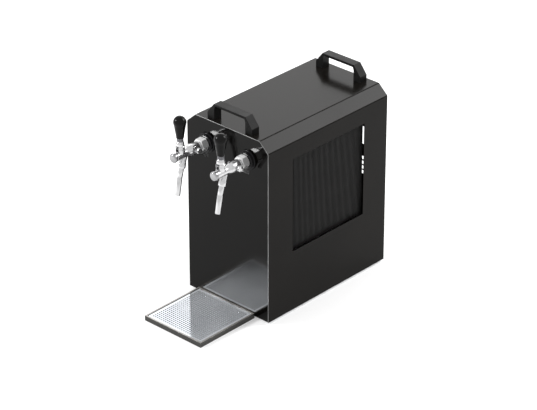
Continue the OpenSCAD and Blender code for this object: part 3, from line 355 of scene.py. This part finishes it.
def softened(node, width, segments=3, least=30.0, below=(None, None, None)):
    """A copy of a CAD node with its sharp edges rounded."""
    bm = copied(node, below)
    return rounded(bm, corners(bm, least), width, segments)


def gathered(*parts):
    """Several shapes as one."""
    whole = bmesh.new()
    for part in parts:
        spare = bpy.data.meshes.new("spare")
        part.to_mesh(spare)
        part.free()
        whole.from_mesh(spare)
        bpy.data.meshes.remove(spare)
    return whole


def block(low, high, width, segments):
    """A block between two corners in metres, with rounded edges."""
    low, high = Vector(low), Vector(high)
    bm = bmesh.new()
    size = Matrix.Diagonal((*(high - low), 1.0))
    bmesh.ops.create_cube(bm, size=1.0, matrix=Matrix.Translation((low + high) / 2) @ size)
    return rounded(bm, bm.edges[:], width, segments)


def islands(node):
    """The lowest and highest corner of each separate solid of a CAD node."""
    bm = merged(node)
    left = set(bm.verts)
    found = []
    while left:
        patch = [left.pop()]
        seen = set(patch)
        while patch:
            for edge in patch.pop().link_edges:
                for v in edge.verts:
                    if v not in seen:
                        seen.add(v)
                        patch.append(v)
        left -= seen
        low = Vector([min(v.co[k] for v in seen) for k in range(3)])
        high = Vector([max(v.co[k] for v in seen) for k in range(3)])
        found.append((low, high))
    bm.free()
    return sorted(found, key=lambda pair: tuple(pair[0]))


def add_piece(name, bm, body, finish, node=None, flat=False, sharp=35.0):
    """A finished piece that rides on a body and may stand for a CAD node."""
    mesh = bpy.data.meshes.new(name)
    bm.to_mesh(mesh)
    bm.free()
    mesh.shade_smooth()
    mesh.set_sharp_from_angle(angle=math.radians(sharp))
    piece = bpy.data.objects.new(name, mesh)
    bpy.context.scene.collection.objects.link(piece)
    piece.data.materials.append(FINISHES[finish])
    if flat:
        even = piece.modifiers.new("even_faces", "WEIGHTED_NORMAL")
        even.keep_sharp = True
    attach(piece, body)
    if node:
        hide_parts(node)
    return piece


def refinish(piece, finish, test):
    """Another finish on the faces that pass a test."""
    piece.data.materials.append(FINISHES[finish])
    for face in piece.data.polygons:
        if test(face):
            face.material_index = len(piece.data.materials) - 1


# Cabinet

FOLD_ANGLES = (20.0, 80.0)
FOLD_LENGTH = 0.2
# Depth of the band of front-facing faces at the cover's front that is painted light as an edge highlight
EDGE_HIGHLIGHT_BAND = 0.2


def make_cabinet(look):
    """The folded cover with its front edge painted light as a highlight, the front and rear panels and the feet.
    """
    shell = copied("cabinet_cover")
    rounded(shell, corners(shell, *FOLD_ANGLES, longer_than=FOLD_LENGTH), look.fold_radius / MM, segments=4)
    rounded(shell, corners(shell, FOLD_ANGLES[1]), width=0.25, segments=2)
    shell = add_piece("cabinet_shell", shell, "cabinet", "satin_black_sheet", "cabinet_cover", flat=True)
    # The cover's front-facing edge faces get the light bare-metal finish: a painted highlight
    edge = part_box("cabinet_cover")[0].y + EDGE_HIGHLIGHT_BAND * MM
    refinish(shell, "bare_edge_and_highlight", lambda face: face.normal.y < -FACING and face.center.y < edge)
    front = softened("front_panel", width=0.35)
    # The front panel carries the darker copy of the sheet finish as painted shade
    add_piece("front_face", front, "cabinet", "shaded_front_sheet", "front_panel", flat=True)
    rear = softened("rear_panel", width=0.25, segments=2)
    add_piece("rear_face", rear, "cabinet", "satin_black_sheet", "rear_panel", flat=True)
    add_piece("soft_feet", softened("feet", width=0.8), "cabinet", "foot_rubber", "feet")


def make_handles(look):
    """The front and rear carrying handles."""
    for end in ("front", "rear"):
        handle = softened(f"{end}_handle", look.handle_rounding / MM, segments=4)
        add_piece(f"{end}_carrying_handle", handle, "cabinet", "handle_plastic", f"{end}_handle", flat=True)


# Taps, with outlines in millimetres from the front panel's face along the tap's axis

ROSETTE = [(8.3, 0), (8.3, 9.4), (9.2, 10), (12.6, 10, 0.3), (13.2, 9.2, 0.4), (14.6, 9.2, 0.4),
           (15.2, 10, 0.3), (19.2, 10, 1.2), (20.5, 8.6, 1.2), (20.5, 6.4, 0.6), (18.8, 5.7, 0.4),
           (18.8, 4.7, 0.4), (20.6, 4, 0.4), (22, 4, 0.9), (23, 2.8, 0.8), (23, 0)]
COUPLING = [(8.2, 10.2), (8.2, 28), (13.2, 28, 0.4), (14.3, 27.8, 0.3), (16.74, 26.4), (16.74, 12.2),
            (14.4, 10.8, 0.3), (13.6, 10.2)]
BARREL = [(8.0, 19.1), (8.0, 28.1), (11.6, 28.1), (12.75, 29.2, 1), (12.75, 31.2, 0.3), (12.1, 31.8, 0.3),
          (12.1, 32.6, 0.3), (12.75, 33.2, 0.3), (12.75, 54.5, 5), (9.6, 66.5, 5), (9.5, 98.6, 0.4),
          (8.9, 99.2), (4.1, 99.2), (4.1, 19.1)]
END_CAP = [(0, 100.0), (9.9, 100.0), (10.75, 100.9, 0.5), (10.75, 104.9, 1.4), (9.3, 106.7, 0.5),
           (8.5, 106.6, 0.3), (7.9, 107.2, 0.4), (4.5, 107.8, 2), (0, 108)]
NUT_ACROSS = 29.0
NUT_TURN = 30.0
NUT_CORNERS = (50.0, 70.0)
NUT_CUT_NEAR = 1e-7


def tap_foot(side):
    """The point where a tap's axis meets the front panel's face."""
    low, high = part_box(f"{side}_rosette")
    return Vector(((low.x + high.x) / 2, high.y, (low.z + high.z) / 2))


def tap_place(side):
    """Puts a shape whose length runs along +Z from the front panel's face onto a tap's axis."""
    return Matrix.Translation(tap_foot(side)) @ Matrix.Rotation(math.radians(90), 4, "X")


def upright_place(side):
    """Puts a shape whose heights are measured from a tap's axis on the lever's pivot line."""
    pivot = PIVOTS[f"{side}_lever"]
    return Matrix.Translation((pivot.x, pivot.y, tap_foot(side).z))


def hexagon(outline, across, place):
    """A turned blank in millimetres with six flats cut on it."""
    bm = turned(outline, steps=72)
    for k in range(6):
        a = math.radians(NUT_TURN + 60 * k)
        normal = Vector((math.cos(a), math.sin(a), 0))
        rim = trimmed(bm, normal * across / 2 * MM, normal, NUT_CUT_NEAR)
        bmesh.ops.contextual_create(bm, geom=rim)
    bmesh.ops.recalc_face_normals(bm, faces=bm.faces)
    rounded(bm, corners(bm, *NUT_CORNERS), width=0.35, segments=2)
    bmesh.ops.transform(bm, matrix=place, verts=bm.verts)
    return bm


def make_taps():
    """The fixed pieces of both taps, from the wall rosette to the spout."""
    nuts = []
    for side in SIDES:
        place = tap_place(side)
        rosette = turned(ring(ROSETTE), place, steps=96)
        add_piece(f"{side}_wall_rosette", rosette, "cabinet", "rosette_plastic", f"{side}_rosette")
        nuts.append(hexagon(ring(COUPLING), NUT_ACROSS, place))
        add_piece(f"{side}_tap_barrel", turned(ring(BARREL), place), "cabinet", "chrome", f"{side}_tap_body")
        # The end cap wears the darker copy of the chrome as painted shade
        add_piece(f"{side}_tap_cap", turned(END_CAP, place), "cabinet", "shaded_cap_chrome", f"{side}_end_cap")
        for name, node, width in (("lever_collar", "bonnet", 0.3), ("spout_socket", "spout_adapter", 0.3),
                                  ("pouring_spout", "spout", 0.25)):
            shape = softened(f"{side}_{node}", width, segments=2, least=40.0)
            add_piece(f"{side}_{name}", shape, "cabinet", "chrome", f"{side}_{node}")
    # The nuts wear the lighter copy of the chrome as painted light
    add_piece("hexagon_nuts", gathered(*nuts), "cabinet", "lit_nut_chrome", "coupling_nuts", flat=True)


# Levers, with outlines in millimetres over the tap's axis

STEM = [(0, 23.38), (4, 23.38)]
STEM_CUT = 23.5
BELL_HOLLOW = arc(13.3, 14.0, 17.6, 44.0)
BELL = [(9.25, 24.4, 0.2), (9.25, 28.4, 1.6), (8.0, 31.6, 1.2), (7.2, 32.8, 0.3)]
FERRULE_FOOT = 33.4
RIBS_FOOT, RIBS_LENGTH = 34.0, 7.4
RIB = ((7.5, 0.0), (7.5, 0.62), (6.95, 0.7), (6.95, 0.95))
FERRULE_TOP = [(7.5, 41.5), (7.2, 42), (0, 42)]
KNOB = [(0, 42), (8.2, 42), (8.75, 42.6, 0.3), (8.75, 44.2, 0.8), (9.3, 49, 3), (11.05, 59, 8), (12.9, 70.5)]
KNOB_HEAD = arc(14.5, 78.5, 113, 0, steps=16)


def lever_outline(ribs):
    """The stem, the bell that glides on the collar's dome, and the ribbed ferrule that carries the knob."""
    step = RIBS_LENGTH / ribs
    turns = [(radius, RIBS_FOOT + k * RIBS_LENGTH / ribs + step * share) for k in range(ribs)
             for radius, share in RIB]
    return STEM + BELL_HOLLOW + BELL + turns + FERRULE_TOP


def make_levers(look):
    """The levers, their knobs and the flow arms."""
    for side in SIDES:
        place = upright_place(side)
        axis = place.translation.z
        finger = copied(f"{side}_lever", below=(None, None, axis + STEM_CUT * MM))
        head = turned(lever_outline(look.ferrule_ribs), place, steps=72)
        lever = add_piece(f"{side}_tap_lever", gathered(finger, head), f"{side}_lever", "chrome",
                          f"{side}_lever")
        ferrule = axis + FERRULE_FOOT * MM
        refinish(lever, "ferrule_steel", lambda face: face.center.z > ferrule)
        add_piece(f"{side}_grip_knob", turned(KNOB + KNOB_HEAD, place, steps=72), f"{side}_lever",
                  "knob_plastic", f"{side}_knob")
        arm = softened(f"{side}_flow_lever", width=1.2, segments=4)
        add_piece(f"{side}_flow_arm", arm, f"{side}_flow_lever", "chrome", f"{side}_flow_lever")


# Drip tray

# Depth of the rim's top band that carries the painted highlight
RIM_HIGHLIGHT_BAND = 0.5
HOLE_CORNER_SHARE = 0.29


def punched_plate(look, low, high):
    """A plate between two corners with rows of eight-sided holes and a plain border."""
    pitch, hole = look.mesh_pitch, look.mesh_hole
    count = [int((high[k] - low[k] - look.mesh_margin) / pitch) for k in (0, 1)]
    field = [n * pitch for n in count]
    bm = bmesh.new()
    bmesh.ops.create_grid(bm, x_segments=count[0], y_segments=count[1], size=0.5)
    bmesh.ops.scale(bm, vec=(*field, 1), verts=bm.verts)
    cells = bm.faces[:]
    bmesh.ops.inset_individual(bm, faces=cells, thickness=(pitch - hole) / 2, use_even_offset=True)
    bmesh.ops.bevel(bm, geom=[v for f in cells for v in f.verts], offset=hole * HOLE_CORNER_SHARE,
                    offset_type="OFFSET", affect="VERTICES", segments=1, profile=0.5, clamp_overlap=True,
                    material=-1)
    holes = [f for f in bm.faces if len(f.verts) == 8 and f.calc_area() < hole * hole]
    bmesh.ops.inset_individual(bm, faces=holes, thickness=2 * look.mesh_sink, depth=-look.mesh_sink,
                               use_even_offset=True)
    bmesh.ops.delete(bm, geom=holes, context="FACES_ONLY")
    border = [e for e in bm.edges if e.is_boundary and any(
        all(abs(abs(v.co[k]) - field[k] / 2) < WELD for v in e.verts) for k in (0, 1))]
    out = bmesh.ops.extrude_edge_only(bm, edges=border)
    grown = [(high[k] - low[k]) / field[k] for k in (0, 1)]
    bmesh.ops.scale(bm, vec=(*grown, 1), verts=[v for v in out["geom"] if isinstance(v, bmesh.types.BMVert)])
    bmesh.ops.recalc_face_normals(bm, faces=bm.faces)
    bmesh.ops.solidify(bm, geom=bm.faces[:], thickness=high.z - low.z - look.mesh_sink)
    bmesh.ops.recalc_face_normals(bm, faces=bm.faces)
    middle = (low + high) / 2
    rise = high.z - max(v.co.z for v in bm.verts)
    bmesh.ops.translate(bm, vec=(middle.x, middle.y, rise), verts=bm.verts)
    return bm


def make_tray(look):
    """The pressed tray and its lift-out plate, with painted shade on the tray's upright faces and a painted
    highlight on its rim.
    """
    pan = add_piece("steel_tray", softened("drip_tray", width=0.3), "tray", "polished_steel", "drip_tray",
                    flat=True)
    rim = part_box("drip_tray")[1].z - RIM_HIGHLIGHT_BAND * MM
    # The upright faces are painted dark as shade
    refinish(pan, "shaded_tray_side", lambda face: abs(face.normal.z) < FACING)
    # The rim's upward top faces get their own tone as a painted highlight
    refinish(pan, "tray_rim", lambda face: face.normal.z > FACING and face.center.z > rim)
    plate = punched_plate(look, *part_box("drip_grid"))
    add_piece("perforated_plate", plate, "grid", "polished_steel", "drip_grid", sharp=20.0)


# Grille

# Stands a flat grid up, so that its x runs along the cabinet and its y runs up
GRID_ON_EDGE = Matrix(((0, 0, 1, 0), (1, 0, 0, 0), (0, 1, 0, 0), (0, 0, 0, 1)))


def make_grille(look):
    """The condenser's upright fins on their back sheet."""
    low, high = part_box("condenser_fins")
    thickness = look.fin_thickness
    count = int((high.y - low.y) / look.fin_pitch)
    pitch = (high.y - low.y - thickness) / (count - 1)
    bm = bmesh.new()
    bmesh.ops.create_grid(bm, x_segments=2 * count - 1, y_segments=1, size=0.5)
    bmesh.ops.transform(bm, matrix=GRID_ON_EDGE, verts=bm.verts)
    for v in bm.verts:
        k = round((v.co.y + 0.5) * (2 * count - 1))
        v.co.y = low.y + (k // 2) * pitch + (thickness if k % 2 else 0.0)
        v.co.z = low.z if v.co.z < 0 else high.z
        v.co.x = low.x + thickness
    bmesh.ops.recalc_face_normals(bm, faces=bm.faces)
    fins = sorted(bm.faces, key=lambda f: f.calc_center_median().y)[::2]
    back = bmesh.ops.extrude_face_region(bm, geom=bm.faces[:], use_keep_orig=True)
    rear = [v for v in back["geom"] if isinstance(v, bmesh.types.BMVert)]
    bmesh.ops.translate(bm, vec=(-thickness, 0, 0), verts=rear)
    out = bmesh.ops.extrude_discrete_faces(bm, faces=fins)
    tips = list({v for f in out["faces"] for v in f.verts})
    bmesh.ops.translate(bm, vec=(high.x - low.x - thickness, 0, 0), verts=tips)
    bmesh.ops.recalc_face_normals(bm, faces=bm.faces)
    add_piece("fin_pack", bm, "cabinet", "fin_aluminium", "condenser_fins")


# Rear fittings, with outlines in millimetres from the rear panel's face

TAIL = [(2.5, 14.6), (2.5, 16), (3.3, 16), (3.7, 15.6, 0.2), (4.5, 12.4), (3.9, 12.0, 0.2), (3.9, 11.6),
        (4.5, 8.4), (3.9, 8.0, 0.2), (3.9, 7.6), (4.5, 4.6), (4.1, 4.2, 0.2), (4.1, 2), (2.5, 2)]
TAIL_NUT = 2.4
TAIL_LEAST = 3.0
# A screw's head in shares of its radius and height, each with a rounding in millimetres where it has one
SCREW = ((0, 0.35), (0.42, 0.35), (0.46, 0.93), (0.62, 1, 0.2), (0.93, 0.5, 0.6))
SCREW_RIM = 0.1
RECESS_REACH, RECESS_LEVEL = 0.5, 0.2
RECESS_LOBES, RECESS_DRAW = 6, 0.11
MARK_SWEEP = 270.0
MARK_SIZE = (0.8, 0.25)
MARK_FOOT, MARK_TOP, LONG_MARK_TOP = 16.5, 18.8, 20.5
LONG_MARK_EVERY = 5


def rear_place(low, high):
    """Puts a shape whose length runs along +Z on the rear panel's face, in the middle of a box."""
    at = Vector(((low.x + high.x) / 2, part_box("rear_panel")[1].y, (low.z + high.z) / 2))
    return Matrix.Translation(at) @ Matrix.Rotation(math.radians(-90), 4, "X")


def screw_head(place, height, radius):
    """A domed head with a lobed recess, made by drawing the recess in between its lobes."""
    h, r = height / MM, radius / MM
    dome = [(r * across, h * up, *easing) for across, up, *easing in SCREW]
    bm = turned(dome + [(r, SCREW_RIM), (r, 0), (0, 0)], steps=48)
    for v in bm.verts:
        reach = math.hypot(v.co.x, v.co.y)
        if WELD < reach < r * RECESS_REACH * MM and v.co.z > RECESS_LEVEL * h * MM:
            draw = 1 - RECESS_DRAW * (1 - math.cos(RECESS_LOBES * math.atan2(v.co.y, v.co.x)))
            v.co.x, v.co.y = v.co.x * draw, v.co.y * draw
    bmesh.ops.transform(bm, matrix=place, verts=bm.verts)
    return bm


def make_screws():
    """The screws that hold the rear panel."""
    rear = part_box("rear_panel")[1].y
    heads = [screw_head(rear_place(low, high), high.y - rear, (high.x - low.x) / 2)
             for low, high in islands("rear_panel_screws")]
    add_piece("panel_screws", gathered(*heads), "cabinet", "zinc_steel", "rear_panel_screws")


def make_controls():
    """The mains inlet, the switch and the thermostat's knob."""
    for name, node, body, width, flat in (
            ("mains_socket", "mains_inlet", "cabinet", 0.4, True),
            ("rocker_frame", "switch_frame", "cabinet", 0.35, True),
            ("rocker_key", "switch_rocker", "rocker", 0.5, True),
            ("dial_knob", "thermostat_knob", "thermostat_dial", 0.5, False)):
        add_piece(name, softened(node, width), body, "fitting_plastic", node, flat=flat)


def make_tails():
    """The nuts and barbed tails for the beer hoses and the air hose."""
    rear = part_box("rear_panel")[1].y
    for name, node in (("beer_hose_tails", "beer_inlets"), ("air_hose_tail", "air_outlet")):
        parts = [softened(node, width=0.3, segments=2, least=40.0, below=(None, rear + TAIL_NUT * MM, None))]
        for low, high in islands(node):
            if high.y >= rear + TAIL_LEAST * MM:
                parts.append(turned(ring(TAIL), rear_place(low, high), steps=48))
        add_piece(name, gathered(*parts), "cabinet", "chrome", node)


def make_dial_marks(look):
    """The marks on the rear panel round the thermostat's dial."""
    low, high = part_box("thermostat_knob")
    middle = (low + high) / 2
    width, thickness = MARK_SIZE
    marks = []
    for k in range(look.dial_marks):
        top = LONG_MARK_TOP if k % LONG_MARK_EVERY == 0 else MARK_TOP
        mark = block((-width / 2 * MM, 0, MARK_FOOT * MM), (width / 2 * MM, thickness * MM, top * MM),
                     width=0.1, segments=1)
        turn = math.radians(MARK_SWEEP * k / (look.dial_marks - 1))
        spot = Matrix.Translation((middle.x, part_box("rear_panel")[1].y, middle.z))
        bmesh.ops.transform(mark, matrix=spot @ Matrix.Rotation(-turn, 4, "Y"), verts=mark.verts)
        marks.append(mark)
    add_piece("dial_scale", gathered(*marks), "cabinet", "dial_print")


# Studio

SENSOR_WIDTH = 36.0
VIEW_DEPTH = 50.0
FLOOR_REACH = 6.0
FLOOR_COLOUR = (0.8, 0.8, 0.8, 1)
WHITE = (1, 1, 1, 1)
LAMP_AIM = Vector((0.0, 0.0, 0.22))
LAMP_DISTANCE = 2.2


def aimed(at, back):
    """A place at a point whose +Z looks along a direction."""
    return Matrix.Translation(at) @ Vector(back).to_track_quat("Z", "Y").to_matrix().to_4x4()


def softbox(name, direction, size, radiance):
    """A soft lamp in a direction from the object, of a plain brightness over its whole face."""
    lamp = bpy.data.lights.new(name, "AREA")
    lamp.shape = "RECTANGLE"
    lamp.size, lamp.size_y = size
    lamp.energy = radiance * math.pi * size[0] * size[1]
    holder = bpy.data.objects.new(name, lamp)
    bpy.context.scene.collection.objects.link(holder)
    way = Vector(direction).normalized()
    holder.matrix_world = aimed(LAMP_AIM + way * LAMP_DISTANCE, way)
    holder.visible_camera = False


def seen_share(tree):
    """One for rays that look at a surface directly, in a mirror or through glass."""
    path = tree.nodes.new("ShaderNodeLightPath")
    first = wire(tree, "ShaderNodeMath", operation="MAXIMUM")
    both = wire(tree, "ShaderNodeMath", operation="MAXIMUM")
    tree.links.new(path.outputs["Is Camera Ray"], first.inputs[0])
    tree.links.new(path.outputs["Is Glossy Ray"], first.inputs[1])
    tree.links.new(first.outputs["Value"], both.inputs[0])
    tree.links.new(path.outputs["Is Transmission Ray"], both.inputs[1])
    return both.outputs["Value"]


def set_camera(studio):
    """The camera at the place from which the cooler is seen."""
    camera = bpy.data.cameras.new("photo_view")
    camera.lens = studio.lens
    camera.sensor_width = SENSOR_WIDTH
    camera.clip_end = VIEW_DEPTH
    holder = bpy.data.objects.new("photo_view", camera)
    bpy.context.scene.collection.objects.link(holder)
    turn, rise = studio.azimuth, studio.elevation
    back = Vector((math.sin(turn) * math.cos(rise), -math.cos(turn) * math.cos(rise), math.sin(rise)))
    holder.matrix_world = aimed(Vector(studio.camera_at), back)
    bpy.context.scene.camera = holder


def light_world(studio):
    """White surroundings, which light matt surfaces at their own level."""
    world = bpy.data.worlds.new("white_studio")
    bpy.context.scene.world = world
    world.use_nodes = True
    tree = world.node_tree
    tree.nodes.clear()
    seen = wire(tree, "ShaderNodeBackground", {"Color": WHITE, "Strength": 1.0})
    lit = wire(tree, "ShaderNodeBackground", {"Color": WHITE, "Strength": studio.fill})
    mix = tree.nodes.new("ShaderNodeMixShader")
    out = tree.nodes.new("ShaderNodeOutputWorld")
    tree.links.new(seen_share(tree), mix.inputs[0])
    tree.links.new(lit.outputs[0], mix.inputs[1])
    tree.links.new(seen.outputs[0], mix.inputs[2])
    tree.links.new(mix.outputs[0], out.inputs[0])


def floor_paint(studio):
    """A matt pale paint that is lifted towards white where it is looked at."""
    paint = bpy.data.materials.new("pale_floor")
    paint.use_nodes = True
    tree = paint.node_tree
    tree.nodes.clear()
    matt = wire(tree, "ShaderNodeBsdfDiffuse", {"Color": FLOOR_COLOUR})
    glow = tree.nodes.new("ShaderNodeEmission")
    strength = wire(tree, "ShaderNodeMath", {1: studio.floor_glow}, operation="MULTIPLY")
    both = tree.nodes.new("ShaderNodeAddShader")
    out = tree.nodes.new("ShaderNodeOutputMaterial")
    tree.links.new(seen_share(tree), strength.inputs[0])
    tree.links.new(strength.outputs[0], glow.inputs["Strength"])
    tree.links.new(matt.outputs[0], both.inputs[0])
    tree.links.new(glow.outputs[0], both.inputs[1])
    tree.links.new(both.outputs[0], out.inputs[0])
    return paint


def lay_floor(studio):
    """The pale floor that the cooler stands on."""
    bm = bmesh.new()
    bmesh.ops.create_grid(bm, x_segments=4, y_segments=4, size=FLOOR_REACH)
    mesh = bpy.data.meshes.new("pale_floor")
    bm.to_mesh(mesh)
    bm.free()
    mesh.materials.append(floor_paint(studio))
    floor = bpy.data.objects.new("pale_floor", mesh)
    bpy.context.scene.collection.objects.link(floor)


def make_studio(studio):
    """The camera, the surroundings, the floor and three soft lamps."""
    bpy.context.scene.view_settings.view_transform = "Standard"
    set_camera(studio)
    light_world(studio)
    lay_floor(studio)
    softbox("rim_lamp", (-0.597, 0.644, 0.478), (1.6, 1.2), studio.rim_light)
    softbox("edge_lamp", (0.415, 0.644, 0.642), (0.9, 0.9), studio.edge_light)
    softbox("front_lamp", (-0.597, -0.644, 0.478), (0.45, 0.45), studio.front_light)


# Sizes and colours that a user would change

def length_prop(name, description, default, least, most):
    """A length in metres."""
    return FloatProperty(name=name, description=description, default=default, min=least, max=most,
                         subtype="DISTANCE", unit="LENGTH", precision=5)


def amount_prop(name, description, default, most=1.0):
    """A share or a brightness, from nothing up."""
    return FloatProperty(name=name, description=description, default=default, min=0.0, max=most)


def colour_prop(name, description, default):
    """A colour."""
    return FloatVectorProperty(name=name, description=description, default=default, min=0.0, max=1.0, size=3,
                               subtype="COLOR")


def angle_prop(name, description, degrees):
    """An angle, given in degrees."""
    return FloatProperty(name=name, description=description, default=math.radians(degrees), subtype="ANGLE",
                         unit="ROTATION")


class CoolerLook(bpy.types.PropertyGroup):
    """Sheet, handles, taps, tray, grille and dial."""
    sheet_colour: colour_prop("Sheet colour", "Colour of the black coated sheet", (0.0039, 0.0033, 0.0027))
    sheet_roughness: amount_prop("Sheet roughness", "How matt the black coating is", 0.12)
    sheet_gloss: amount_prop("Sheet gloss", "How much the black coating mirrors", 0.078)
    front_gloss: amount_prop("Front gloss", "How much the front panel mirrors", 0.1)
    fold_radius: length_prop("Fold radius", "Rounding of the cover's long folds", 0.002, 0.0005, 0.003)
    handle_rounding: length_prop("Handle rounding", "Rounding of the handles' edges", 0.0012, 0.0002, 0.002)
    chrome_colour: colour_prop("Chrome colour", "Colour of the chromed tap parts", (0.62, 0.62, 0.625))
    chrome_metal: amount_prop("Chrome metal", "How much of the chrome's shine is a mirror", 0.88)
    plate_metal: amount_prop("Plate metal", "How much of the drip plate's shine is a mirror", 0.76)
    ferrule_ribs: IntProperty(name="Ferrule ribs", description="Turned ribs under each knob", default=4,
                              min=2, max=8)
    mesh_pitch: length_prop("Hole spacing", "Spacing of the holes in the drip plate", 0.0062, 0.004, 0.012)
    mesh_hole: length_prop("Hole size", "Size of a hole's upper edge in the drip plate", 0.0043, 0.002, 0.009)
    mesh_sink: length_prop("Hole sink", "Depth by which a hole's edge is drawn in", 0.0002, 0.0001, 0.0008)
    mesh_margin: length_prop("Plain border", "Plain border left round the holes", 0.006, 0.002, 0.02)
    fin_pitch: length_prop("Fin spacing", "Spacing of the condenser's fins", 0.0039, 0.0015, 0.006)
    fin_thickness: length_prop("Fin thickness", "Thickness of a fin", 0.0011, 0.0002, 0.002)
    dial_marks: IntProperty(name="Dial marks", description="Marks round the thermostat's dial", default=11,
                            min=5, max=21)


class CoolerStudio(bpy.types.PropertyGroup):
    """Camera, floor and lamps."""
    azimuth: angle_prop("Azimuth", "Where the camera stands round the object", 42.8546)
    elevation: angle_prop("Elevation", "How high the camera looks from", 28.5694)
    camera_at: FloatVectorProperty(name="Camera place", description="Where the camera is",
                                   default=(3.41025, -3.66184, 2.93249), size=3, subtype="TRANSLATION",
                                   unit="LENGTH")
    lens: amount_prop("Lens", "Focal length in millimetres", 173.46, 500.0)
    fill: amount_prop("Fill", "Brightness of the surroundings on matt surfaces", 0.95, 50.0)
    floor_glow: amount_prop("Floor glow", "Brightness added to the floor where it is looked at", 0.22, 50.0)
    rim_light: amount_prop("Rear lamp", "Brightness of the lamp that the top mirrors", 1.85, 50.0)
    edge_light: amount_prop("Edge lamp", "Brightness of the lamp that the slanted edge mirrors", 11.0, 50.0)
    front_light: amount_prop("Front lamp", "Brightness of the lamp in front", 48.0, 50.0)


# Operators

class COOLER_OT_finishes(bpy.types.Operator):
    """Give every carried-over part its finish"""
    bl_idname = "cooler.finishes"
    bl_label = "Finishes"

    def execute(self, context):
        make_finishes(context.scene.cooler_look)
        return {"FINISHED"}


class COOLER_OT_cabinet(bpy.types.Operator):
    """Fold the cabinet's sheets and set it on its feet"""
    bl_idname = "cooler.cabinet"
    bl_label = "Cabinet"

    def execute(self, context):
        make_cabinet(context.scene.cooler_look)
        return {"FINISHED"}


class COOLER_OT_handles(bpy.types.Operator):
    """Round the two carrying handles"""
    bl_idname = "cooler.handles"
    bl_label = "Handles"

    def execute(self, context):
        make_handles(context.scene.cooler_look)
        return {"FINISHED"}


class COOLER_OT_taps(bpy.types.Operator):
    """Turn the taps' rosettes, nuts, barrels, caps, collars and spouts"""
    bl_idname = "cooler.taps"
    bl_label = "Taps"

    def execute(self, context):
        make_taps()
        return {"FINISHED"}


class COOLER_OT_levers(bpy.types.Operator):
    """Turn the levers with their bells, ferrules and knobs, and shape the flow arms"""
    bl_idname = "cooler.levers"
    bl_label = "Levers and Knobs"

    def execute(self, context):
        make_levers(context.scene.cooler_look)
        return {"FINISHED"}


class COOLER_OT_tray(bpy.types.Operator):
    """Press the drip tray and punch its plate"""
    bl_idname = "cooler.tray"
    bl_label = "Drip Tray"

    def execute(self, context):
        make_tray(context.scene.cooler_look)
        return {"FINISHED"}


class COOLER_OT_grille(bpy.types.Operator):
    """Stack the fins behind the grille's cut-out"""
    bl_idname = "cooler.grille"
    bl_label = "Fins"

    def execute(self, context):
        make_grille(context.scene.cooler_look)
        return {"FINISHED"}


class COOLER_OT_screws(bpy.types.Operator):
    """Set the rear panel's screws"""
    bl_idname = "cooler.screws"
    bl_label = "Rear Screws"

    def execute(self, context):
        make_screws()
        return {"FINISHED"}


class COOLER_OT_controls(bpy.types.Operator):
    """Fit the mains inlet, the switch and the thermostat's knob"""
    bl_idname = "cooler.controls"
    bl_label = "Inlet, Switch and Knob"

    def execute(self, context):
        make_controls()
        return {"FINISHED"}


class COOLER_OT_tails(bpy.types.Operator):
    """Turn the barbed hose tails"""
    bl_idname = "cooler.tails"
    bl_label = "Hose Tails"

    def execute(self, context):
        make_tails()
        return {"FINISHED"}


class COOLER_OT_dial_marks(bpy.types.Operator):
    """Print the marks round the thermostat's dial"""
    bl_idname = "cooler.dial_marks"
    bl_label = "Dial Marks"

    def execute(self, context):
        make_dial_marks(context.scene.cooler_look)
        return {"FINISHED"}


class COOLER_OT_studio(bpy.types.Operator):
    """Set the camera, the pale floor and the soft lamps"""
    bl_idname = "cooler.studio"
    bl_label = "Studio"

    def execute(self, context):
        make_studio(context.scene.cooler_studio)
        return {"FINISHED"}


STEPS = (COOLER_OT_finishes, COOLER_OT_cabinet, COOLER_OT_handles, COOLER_OT_taps, COOLER_OT_levers,
         COOLER_OT_tray, COOLER_OT_grille, COOLER_OT_screws, COOLER_OT_controls, COOLER_OT_tails,
         COOLER_OT_dial_marks, COOLER_OT_studio)


class COOLER_PT_steps(bpy.types.Panel):
    """The steps that dress the cooler, in their order"""
    bl_label = "Beer Cooler"
    bl_idname = "COOLER_PT_steps"
    bl_space_type = "VIEW_3D"
    bl_region_type = "UI"
    bl_category = "Cooler"

    def draw(self, context):
        column = self.layout.column(align=True)
        for step in STEPS:
            column.operator(step.bl_idname, text=step.bl_label)
        for group in (context.scene.cooler_look, context.scene.cooler_studio):
            box = self.layout.box()
            for name in group.__annotations__:
                box.prop(group, name)


CLASSES = (CoolerLook, CoolerStudio, *STEPS, COOLER_PT_steps)


def register():
    for each in CLASSES:
        bpy.utils.register_class(each)
    bpy.types.Scene.cooler_look = PointerProperty(type=CoolerLook)
    bpy.types.Scene.cooler_studio = PointerProperty(type=CoolerStudio)


def unregister():
    del bpy.types.Scene.cooler_studio
    del bpy.types.Scene.cooler_look
    for each in reversed(CLASSES):
        bpy.utils.unregister_class(each)


def main():
    register()
    for step in STEPS:
        group, name = step.bl_idname.split(".")
        getattr(getattr(bpy.ops, group), name)()


if __name__ == "__main__":
    main()
